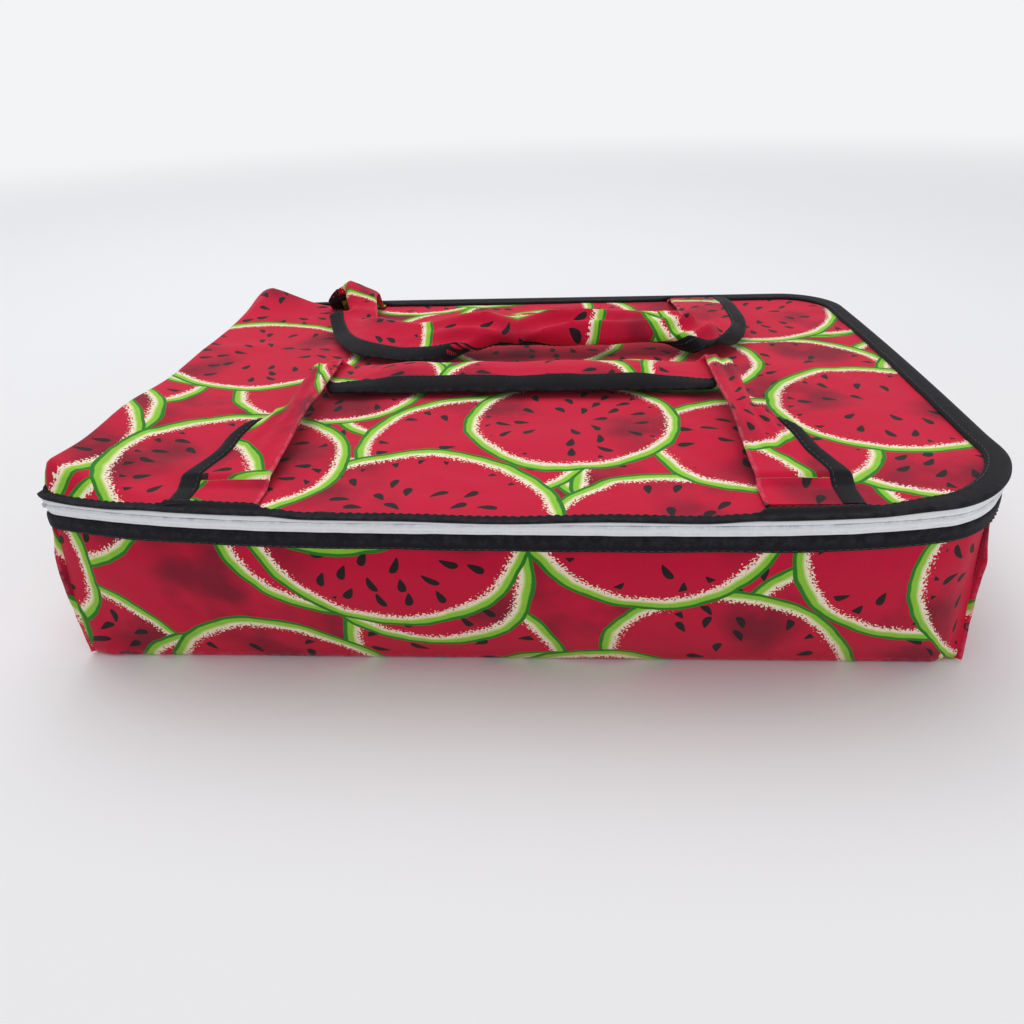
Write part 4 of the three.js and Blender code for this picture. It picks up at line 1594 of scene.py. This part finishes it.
    def build_slider(self) -> None:
        """Model the slider: a waisted plate, a lip under the coils and an arch for the pull."""
        low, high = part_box("zip_slider")
        x, plate = (low.x + high.x) / 2, high.y - self.arch_bar - self.arch_gap
        made = self.block((low.x, plate - self.plate, low.z), (high.x, plate, high.z), 0.0005)
        half = (high.x - low.x) / 2
        for vertex in made.data.vertices:
            share = (vertex.co.x - x) / half
            vertex.co.z = self.meeting + (vertex.co.z - self.meeting) * (1 if share < 0 else 1 - 0.16 * share)
        lip = self.block((low.x + 0.0004, low.y, low.z), (high.x - 0.0004, plate, low.z + 0.0008), 0.0003)
        self.combine(made, lip, "UNION")
        arch = primitive(bpy.ops.mesh.primitive_torus_add, major_segments=36, minor_segments=10,
                         major_radius=self.arch_radius, minor_radius=self.arch_bar / 2, location=(x, 0, 0))
        top = self.arch_radius + self.arch_bar / 2
        reach = self.arch_gap + self.arch_bar + 0.0004
        for vertex in arch.data.vertices:
            vertex.co.y = plate - 0.0004 + vertex.co.y * reach / top
            vertex.co.z = (low.z + high.z) / 2 + vertex.co.z * self.arch_width
        lower = self.block((x - 0.005, plate - 0.006, low.z - 0.004),
                           (x + 0.005, plate - 0.0006, high.z + 0.004), 0.0001)
        self.combine(arch, lower, "DIFFERENCE")
        self.combine(made, arch, "UNION")
        made.name = "slider_casting"
        dress(made, self.finish.metal, ["zip_slider"], Body.SLIDER, 40)

    def build_pull(self) -> None:
        """Model the stamped pull tab, with its window and a dished grip on both faces."""
        low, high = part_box("zip_pull_tab")
        middle, half = (low.z + high.z) / 2, (high.z - low.z) / 2
        made = self.block((low.x, low.y, low.z), (high.x, high.y, high.z), 0.00032)
        for vertex in made.data.vertices:
            share = (vertex.co.x - low.x) / (high.x - low.x)
            narrow = 1 - 0.45 * float(smoothstep(0.86, 1.0, share)) if share > 0.86 else 1.0
            vertex.co.z = middle + (vertex.co.z - middle) * narrow
        window = self.block((low.x + 0.0012, low.y - 0.001, middle - half * 0.57),
                            (low.x + 0.0058, high.y + 0.001, middle + half * 0.57), 0.0004)
        self.combine(made, window, "DIFFERENCE")
        for side in (low.y - 0.001, high.y - 0.00025):
            dish = self.block((low.x + 0.009, side, middle - half * 0.62),
                              (high.x - 0.0028, side + 0.00125, middle + half * 0.62), 0.0003)
            self.combine(made, dish, "DIFFERENCE")
        made.name = "pull_tab_stamping"
        dress(made, self.finish.metal, ["zip_pull_tab"], Body.PULL, 40)

    def build(self) -> None:
        """Build the zip."""
        self.build_tape("lower", self.bag.zip_foot - 0.0004, self.meeting - self.tape_gap)
        self.build_tape("upper", self.meeting + self.tape_gap, self.bag.lid_top - 0.0001)
        self.build_coil("lower", self.meeting - 0.0004, 0.0, Body.BASE)
        self.build_coil("upper", self.meeting + 0.0007, self.tooth_pitch / 2, Body.LID)
        for end in ("front", "back"):
            self.build_stop(end)
        self.build_slider()
        self.build_pull()


# The straps


@dataclass
class Strap:
    """A flat strap sewn to the lid at both ends, with one bound edge.

    It runs from its crease towards way, 1 back or -1 forwards. Crease and shift say where the
    crease lies, reach how far the strap goes from it, and tail how long its sewn ends are.
    """

    bag: BagShape
    finish: Finishes
    name: str
    body: Body
    way: int
    shift: float
    crease: float
    reach: float
    tail: float
    width: float = 0.038
    span: float = 0.238
    crease_height: float = 0.0922
    grip_height: float = 0.0914
    tail_height: float = 0.0891
    fold_radius: float = 0.003
    edge_width: float = 0.0088
    edge_cloth: float = 0.00065
    sewn_shift: float = 0.043
    cuts: int = 22
    bend_span: tuple[float, float] = (-0.0062, 0.0062)
    stitch_inset: float = 0.0013
    sewn_share: float = 0.42
    print_shift: tuple[float, float] = (0.0, 0.0)

    @property
    def half_length(self) -> float:
        """Distance along the strap from its crease to its middle."""
        return self.reach + self.span / 2

    def thickness(self, w: Array) -> Array:
        """Half the strap's thickness across its width.

        Args:
            w: Places across, from the bound edge at minus half the width.

        Returns:
            The half thickness.
        """
        half = self.width / 2
        fold = smoothstep(0, 0.0016, half - w)
        puff = 0.00075 + 0.00055 * np.clip(1 - ((w - 0.003) / 0.021) ** 2, 0, 1) ** 0.6
        groove = 0.0003 * np.exp(-((w + 0.0062) / 0.0009) ** 2)
        return (puff - groove) * (0.25 + 0.75 * np.sqrt(fold))

    def tail_share(self, run: Array) -> Array:
        """1 along the strap and 0 where its end is sewn down flat."""
        return smoothstep(-0.0045, 0.0028, run)

    def squeezed(self, run: Array) -> Array:
        """Share of the strap's thickness that is left, less where it is sewn down."""
        return self.sewn_share + (1 - self.sewn_share) * self.tail_share(run)

    @staticmethod
    def tuck(w: Array, h: Array, line: Array, radius: float) -> tuple[Array, Array]:
        """Roll the strap's bound side under itself.

        Args:
            w: Across the strap.
            h: Out of its face.
            line: Place across where the roll starts.
            radius: The roll's radius.

        Returns:
            The places across and out after the roll.
        """
        past = np.maximum(line - w, 0)
        angle = np.minimum(past / radius, pi)
        beyond = np.maximum(past - pi * radius, 0)
        squeezed = radius * np.exp(np.minimum(h, 0) / radius) + np.maximum(h, 0)
        out = radius + h + (squeezed - radius - h) * smoothstep(0, radius, past)
        return np.maximum(w, line) - out * np.sin(angle) + beyond, out * np.cos(angle) - radius

    def path(self, w: Array, run: Array, h: Array, right: bool) -> Array:
        """Place of the strap's cloth, before it is moved to its crease."""
        raise NotImplementedError

    def stations(self) -> list[tuple[float, float]]:
        """Distances along the first half, each with the slant of its line."""
        raise NotImplementedError

    def wrinkle(self, s: Array, w: Array) -> Array:
        """Shallow wrinkles out of the strap's face.

        Args:
            s: Along the whole strap.
            w: Across it.

        Returns:
            Their height.
        """
        free = smoothstep(0.002, 0.02, np.minimum(s, 2 * self.half_length - s))
        slow = ripple(s + 0.9 * w, 0.047, 131 + self.way) * 0.00035
        fast = ripple(s - 1.4 * w, 0.019, 141 + self.way) * 0.00014
        groove = 0.0005 * np.exp(-(np.minimum(s, 2 * self.half_length - s) / 0.0009) ** 2)
        return (slow + fast) * free - groove

    def place(self, w: Array, s: Array, h: Array) -> Array:
        """Points of the strap in the bag's frame.

        Args:
            w: Across the strap.
            s: Along the whole strap from its left crease.
            h: Out of its face.

        Returns:
            The points.
        """
        half = self.half_length
        right = s > half
        run = np.where(right, 2 * half - s, s)
        local = self.path(w, run, h, right)
        flat = self.tail_share(run)
        x = np.where(right, -local[..., 0], local[..., 0]) + self.shift
        y = self.crease + self.way * local[..., 1]
        drop = (1 - flat) * (self.crease_height - self.tail_height)
        return np.stack([x + self.bag.centre[0], y + self.bag.centre[1], local[..., 2] - drop], -1)

    def rings(self, section: Callable[[float], Array]) -> tuple[Array, Array, Array]:
        """Rings of a section drawn along the strap.

        Args:
            section: Points across and out, from the share of the thickness that is left.

        Returns:
            The rings, the distance along and the section's last points.
        """
        half = self.half_length
        first = self.stations()
        lines = first + [(2 * half - s, -slant) for s, slant in reversed(first[:-1])]
        rings, runs = [], []
        for s0, slant in lines:
            run0 = s0 if s0 <= half else 2 * half - s0
            wh = section(float(self.squeezed(np.array(run0))))
            w, h = wh[:, 0], wh[:, 1]
            s = s0 + slant * w
            rings.append(self.place(w, s, h + self.wrinkle(s, w)))
            runs.append(s)
        return np.array(rings), np.array(runs), wh

    def cloth_section(self, share: float) -> Array:
        """Section of the folded cloth.

        Args:
            share: Share of the thickness that is left.

        Returns:
            Points across and out.
        """
        half = self.width / 2
        fold = [half - 0.0011, half - 0.0004, half]
        w = np.append(np.linspace(-half + 0.0008, half - 0.002, self.cuts), fold)
        t = self.thickness(w) * share
        return np.concatenate([np.stack([w, t], 1), np.stack([w[:-1], -t[:-1]], 1)[::-1]])

    def edge_section(self, share: float) -> Array:
        """Section of the binding that wraps the open edge.

        Args:
            share: Share of the thickness that is left.

        Returns:
            Points across and out.
        """
        half, cloth = self.width / 2, self.edge_cloth
        w = -half + np.array([self.edge_width, self.edge_width - 0.0007, 0.0055, 0.003, 0.0008])
        t = self.thickness(w) * share
        lift = np.array([0.0001, cloth * 0.85, cloth, cloth, cloth])
        top = np.stack([w, t + lift], 1)
        nose = np.array([[-half - cloth * 0.65, t[-1] * 0.75], [-half - cloth, 0.0],
                         [-half - cloth * 0.65, -t[-1] * 0.75]])
        under = top[::-1] * np.array([1, -1])
        inside_w = w[::-1][:-1]
        inside_t = t[::-1][:-1]
        inner_low = np.stack([inside_w, -inside_t - 0.00006], 1)[::-1]
        inner_top = np.stack([inside_w, inside_t + 0.00006], 1)
        return np.concatenate([top, nose, under, inner_low[1:], [[-half + 0.0002, 0.0]], inner_top[:-1]])

    def build(self) -> None:
        """Build the strap's cloth, its binding and the binding's stitches."""
        rings, runs, wh = self.rings(self.cloth_section)
        over = np.append(wh[:, 0], self.width - wh[0, 0])
        under = self.cuts + 3
        over[under:-1] = self.width - over[under:-1]
        along = runs + self.sewn_shift * (np.minimum(runs, 2 * self.half_length - runs) < 0)
        along = np.concatenate([along, along[:, :1]], 1) + self.print_shift[0]
        chart = np.stack([along, over + self.print_shift[1] + 0 * along], -1)
        name = self.name
        cloth = tube(f"{name}_strap_cloth", rings, chart, (np.abs(wh[:, 0] - self.width / 2) < 0.0015) * 1.0)
        nodes = [f"{name}_strap{part}" for part in ("", "_left_tail", "_right_tail")]
        dress(cloth, self.finish.cotton, nodes, degrees=60)
        rings, runs, wh = self.rings(self.edge_section)
        steps = travelled(wh)
        steps = np.append(steps, steps[-1] + 0.001)
        along = np.concatenate([runs, runs[:, :1]], 1)
        chart = np.stack([steps + 0 * along, along], -1)
        band = tube(f"{name}_strap_edge", rings, chart, (wh[:, 0] < -self.width / 2) * 1.0)
        dress(band, self.finish.binding, [f"{name}_strap_binding"], degrees=70)
        for piece in [cloth, band, *self.stitches()]:
            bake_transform(piece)

    def stitches(self) -> list[Piece]:
        """Stitch the binding down along its inner edge, on both faces.

        Returns:
            The rows of stitches.
        """
        half = self.half_length
        w = -self.width / 2 + self.edge_width - self.stitch_inset
        s = np.linspace(-0.008, 2 * half + 0.008, 700)
        across = np.full_like(s, w)
        share = self.squeezed(np.where(s > half, 2 * half - s, s))
        made = []
        for side, label in ((1, "upper"), (-1, "lower")):
            h = side * (self.thickness(np.array([w]))[0] * share + self.edge_cloth * 0.95)
            wave = self.wrinkle(s, across)
            path = self.place(across, s, h + wave)
            up = self.place(across, s, h + wave + side * 0.0004) - path
            made.append(stitch_row(f"{self.name}_strap_{label}_stitches", path, up, self.finish.thread,
                                   pitch=0.0032, length=0.0023))
        return made


@dataclass
class FoldedStrap(Strap):
    """A strap that turns each corner by folding under itself at 45 degrees."""

    rise_run: float = 0.07
    roll_radius: float = 0.0015
    leg_pleat: float = 0.0007
    roll_width: float = 0.0295
    pleat_pitch: float = 0.0115
    grip_crown: float = 0.0052

    def path(self, w: Array, run: Array, h: Array, right: bool) -> Array:
        """Place of the strap's cloth.

        Args:
            w: Across the strap.
            run: Along it from the crease.
            h: Out of its face.
            right: Whether this is the right half.

        Returns:
            The places.
        """
        half = self.width / 2
        early = np.where(right, 0.004, 0.0)
        hold = 1 - smoothstep(0.126, 0.139, run)
        gather = (0.2 * smoothstep(0, 0.028, run) + 0.22 * smoothstep(0.028, 0.064, run + early)) * hold
        line = -half - 0.0015 + self.roll_width * smoothstep(0.018, 0.07, run + early) * hold
        pleat = self.leg_pleat * np.cos(w * 2 * pi / self.pleat_pitch + run * 55 + 0.8 * np.sin(run * 90))
        h = h + pleat * gather / 0.42 * smoothstep(0.004, 0.02, run)
        crown = self.grip_crown * (1 - (w / half) ** 2) * smoothstep(0.134, 0.17, run)
        crown = crown * (1 + 0.25 * ripple(run, 0.06, 151))
        w, h = self.tuck(half - (half - w) * (1 - gather), h, line, self.roll_radius)
        r = self.fold_radius
        quarter = pi * r / 2
        along = (run - self.reach + w) / sqrt(2)
        across = (run - self.reach - w) / sqrt(2)
        angle = np.clip(across / r, -pi / 2, pi / 2)
        flat = np.where(np.abs(across) > quarter, -(np.abs(across) - quarter), 0.0)
        out = np.cos(angle) * (r + h) + flat - quarter
        y = self.reach + (along + out) / sqrt(2)
        rise = smoothstep(0, self.rise_run, y)
        low = self.crease_height - r
        middle = low + (self.grip_height + r - low) * rise
        x = -self.span / 2 + (along - out) / sqrt(2)
        return np.stack([x, y, middle - np.sin(angle) * (r + h) + crown], -1)

    def stations(self) -> list[tuple[float, float]]:
        """Distances along the first half, each with the slant of its line.

        Returns:
            The stations.
        """
        reach, half = self.reach, self.half_length
        before, after = reach - self.width, reach + self.width
        fold = pi * self.fold_radius / sqrt(2)
        made = [(s, 0.0) for s in np.linspace(-self.tail, -0.0002, 18)]
        made += [(s, 0.0) for s in np.linspace(0.0002, before, 60)]
        made += [(before + (reach - fold - before) * t, t) for t in np.linspace(0, 1, 34)[1:]]
        made += [(reach + fold * t, 1.0) for t in np.linspace(-1, 1, 23)[1:]]
        made += [(reach + fold + (after - reach - fold) * t, 1 - t) for t in np.linspace(0, 1, 34)[1:]]
        made += [(s, 0.0) for s in np.linspace(after, half, 40)[1:]]
        return made


@dataclass
class BentStrap(Strap):
    """A strap that turns each corner by bending flat, with a loosely gathered grip."""

    bend_span: tuple[float, float] = (0.006, 0.034)
    inner_radius: float = 0.006
    arch: float = 0.005
    left_arch: float = 0.0062
    left_ridge: float = 0.0075
    cut_across: float = 0.013
    cut_back: float = 0.036
    cut_reach: float = 0.05
    cut_middle: tuple[float, float] = (-0.134, 0.09)
    curl: float = 0.0035
    roll_width: float = 0.0195
    pleat_pitch: float = 0.0135
    gather: float = 0.15
    pleat: float = 0.0048
    ridge: float = 0.0102
    ridge_place: float = 0.0085
    sway: float = 0.0035
    roll_radius: float = 0.0015

    @property
    def bend_radius(self) -> float:
        """Radius of the bend along the strap's middle."""
        return self.inner_radius + self.width / 2

    @property
    def half_length(self) -> float:
        """Distance along the strap from its crease to its middle."""
        return self.reach + self.span / 2 - (2 - pi / 2) * self.bend_radius

    @property
    def bend_start(self) -> float:
        """Distance from the crease to the bend."""
        return self.reach - self.bend_radius

    def path(self, w: Array, run: Array, h: Array, right: bool) -> Array:
        """Place of the strap's cloth.

        Args:
            w: Across the strap.
            run: Along it from the crease.
            h: Out of its face.
            right: Whether this is the right half.

        Returns:
            The places.
        """
        radius, start, half = self.bend_radius, self.bend_start, self.width / 2
        cut_x, cut_y = self.cut_middle
        length = radius * pi / 2
        grip = np.where(right, smoothstep(0.062, 0.1, run), smoothstep(0.135, 0.185, run) * 0.85)
        rolled = smoothstep(0.002, 0.018, run) * (1 - smoothstep(0.062, 0.084, run))
        hidden = np.where(right, smoothstep(0.082, 0.125, run), smoothstep(0.148, 0.195, run) + rolled)
        folds = (0.5 + 0.5 * np.cos(w * 2 * pi / self.pleat_pitch + run * 84 + 1.5 * np.sin(run * 61))) ** 1.4
        lift = grip * self.pleat * folds * (0.72 + 0.38 * np.sin(run * 78 + 0.7))
        tent = np.clip(1 - np.abs(w - self.ridge_place) / (half + self.ridge_place), 0, 1)
        raised = self.ridge * tent * smoothstep(start - 0.006, start + 0.04, run)
        wide = half - (half - w) * (1 - self.gather * grip)
        tight, h = self.tuck(wide, h, -half - 0.0015 + self.roll_width * hidden, self.roll_radius)
        turned = np.clip((run - start) / radius, 0, pi / 2)
        past = np.maximum(0, run - start - length)
        x = -self.span / 2 + radius - (radius - tight) * np.cos(turned) + past
        y = np.minimum(run, start) + (radius - tight) * np.sin(turned)
        y = y - grip * self.sway * (0.5 + 0.5 * np.sin(run * 95 + 1.2))
        share = np.clip(y / self.reach, 0, 1)
        arch = self.arch * np.sin(pi * share)
        hump = smoothstep(-0.001, 0.013, y) * (1 - smoothstep(0.018, 0.056, y))
        hoop = np.where(right, 0.0, hump * (self.left_arch + self.left_ridge * (1 - np.abs(w) / half)))
        near = np.exp(-((x - cut_x) ** 2 + (y - cut_y) ** 2) / self.cut_reach ** 2)
        x = x + np.where(right, 0.0, self.cut_across * near)
        y = y - np.where(right, 0.0, self.cut_back * near)
        curl = np.where(right, 0.0, self.curl * smoothstep(0.002, 0.02, y) * (1 - smoothstep(0.04, 0.075, y)))
        edge = np.clip(-w / half, 0, 1) ** 2
        roll = 2 * self.roll_radius * hidden
        z = self.crease_height + (self.grip_height - self.crease_height) * share + arch + hoop + roll
        return np.stack([x, y, z + lift + raised + curl * edge + h], -1)

    def stations(self) -> list[tuple[float, float]]:
        """Distances along the first half, each with the slant of its line."""
        return [(s, 0.0) for s in np.linspace(-self.tail, -0.0002, 12)] + [
            (s, 0.0) for s in np.linspace(0.0002, self.half_length, 190)]


# The stage


@dataclass
class Stage:
    """Floor, lights and camera."""

    floor_colour: Colour = (0.86, 0.86, 0.88)
    eye: tuple[float, float, float] = (0.0152, -0.4121, 0.2417)
    yaw: float = -3.97
    pitch: float = 30.35
    roll: float = -2.1
    focal: float = 780.5
    frame_pixels: float = 1024.0
    sensor: float = 36.0
    floor_size: float = 40.0
    fade: tuple[float, float] = (0.7, 2.6)
    backdrop_colour: Colour = (0.97, 0.98, 1.0)
    backdrop_strength: float = 0.92
    world_strength: float = 0.42

    def build_floor(self) -> Piece:
        """Lay the pale floor, which passes far out into the colour of the backdrop.

        Returns:
            The floor.
        """
        floor = primitive(bpy.ops.mesh.primitive_plane_add, size=self.floor_size, location=(0, 0, -0.0001))
        floor.name = "floor"
        bpy.ops.object.mode_set(mode="EDIT")
        bpy.ops.mesh.subdivide(number_cuts=9)
        bpy.ops.object.mode_set(mode="OBJECT")
        material, w, shader = new_material("pale_floor")
        place = w.node("TexCoord").outputs["Object"]
        tone = w.mix(w.noise(place, 3.0), self.floor_colour, tuple(c * 0.97 for c in self.floor_colour))
        w.feed(shader, {"Base Color": tone, "Roughness": 0.9})
        far = w.node("Emission", {"Color": (*self.backdrop_colour, 1.0),
                                  "Strength": w.math("MULTIPLY", self.seen(w), self.backdrop_strength)})
        share = w.steps(w.vector("LENGTH", place), *self.fade)
        both = w.node("MixShader", {0: share, 1: shader.outputs[0], 2: far.outputs[0]})
        w.feed(material.node_tree.nodes["Material Output"], {"Surface": both.outputs[0]})
        floor.data.materials.append(material)
        return floor

    @staticmethod
    def seen(w: Wiring) -> Socket:
        """1 for what the camera sees, straight or in a gloss or glass, and 0 for light.

        Args:
            w: The wiring of the material or the world.

        Returns:
            The socket.
        """
        rays = w.node("LightPath").outputs
        bent = w.math("MAXIMUM", rays["Is Glossy Ray"], rays["Is Transmission Ray"])
        return w.math("MAXIMUM", rays["Is Camera Ray"], bent)

    def build_light(self) -> None:
        """Hang one large soft lamp, a weak fill, and set the world's light."""
        for name, place, aim, size, power in (
                ("key", (-0.3, 0.5, 1.9), (0, 0, 0), 2.2, 30.0),
                ("fill", (1.3, -1.5, 0.9), (0.05, 0, 0.05), 1.4, 7.5)):
            data = bpy.data.lights.new(name, "AREA")
            data.size, data.energy = size, power
            lamp = bpy.data.objects.new(name, data)
            bpy.context.scene.collection.objects.link(lamp)
            lamp.location = place
            lamp.rotation_euler = (Vector(aim) - Vector(place)).to_track_quat("-Z", "Y").to_euler()
        world = bpy.data.worlds.new("studio")
        bpy.context.scene.world = world
        world.use_nodes = True
        w = Wiring(world.node_tree)
        more = w.math("MULTIPLY", self.seen(w), self.backdrop_strength - self.world_strength)
        w.feed(world.node_tree.nodes["Background"], {"Strength": w.math("ADD", more, self.world_strength),
                                                     "Color": (*self.backdrop_colour, 1.0)})

    def build_camera(self) -> None:
        """Set the camera at the photograph's viewing angle."""
        y, p, r = (radians(v) for v in (self.yaw, self.pitch, self.roll))
        ahead = Vector((sin(y) * cos(p), cos(y) * cos(p), -sin(p)))
        right = Vector((cos(y), -sin(y), 0.0))
        up = right.cross(ahead)
        turned = right * cos(r) + up * sin(r)
        upward = -right * sin(r) + up * cos(r)
        data = bpy.data.cameras.new("view")
        data.sensor_width = self.sensor
        data.lens = self.focal / self.frame_pixels * self.sensor
        data.clip_start, data.clip_end = 0.01, 50.0
        camera = bpy.data.objects.new("view", data)
        bpy.context.scene.collection.objects.link(camera)
        turn = Matrix((turned, upward, -ahead)).transposed()
        camera.matrix_world = Matrix.Translation(self.eye) @ turn.to_4x4()
        bpy.context.scene.camera = camera

    def build(self) -> None:
        """Build the stage."""
        self.build_floor()
        self.build_light()
        self.build_camera()
        bpy.context.scene.view_settings.view_transform = "Standard"


def main() -> None:
    """Build the carrier's looks."""
    logging.basicConfig(level=logging.INFO, format="%(name)s: %(message)s")
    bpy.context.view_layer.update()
    Stage().build()
    finish = Finishes()
    bag = BagShape()
    surface = LidSurface(bag)
    Base(bag, finish).build()
    Lid(bag, surface, finish).build()
    Zip(bag, surface, finish).build()
    FoldedStrap(bag, finish, "front", Body.FRONT_STRAP, 1, -0.004, -0.1368, reach=0.118, tail=0.0178,
                print_shift=(0.03, 0.04)).build()
    BentStrap(bag, finish, "back", Body.BACK_STRAP, -1, -0.007, 0.126, reach=0.101, tail=0.0135,
              print_shift=(0.27, 0.16)).build()


if __name__ == "__main__":
    main()
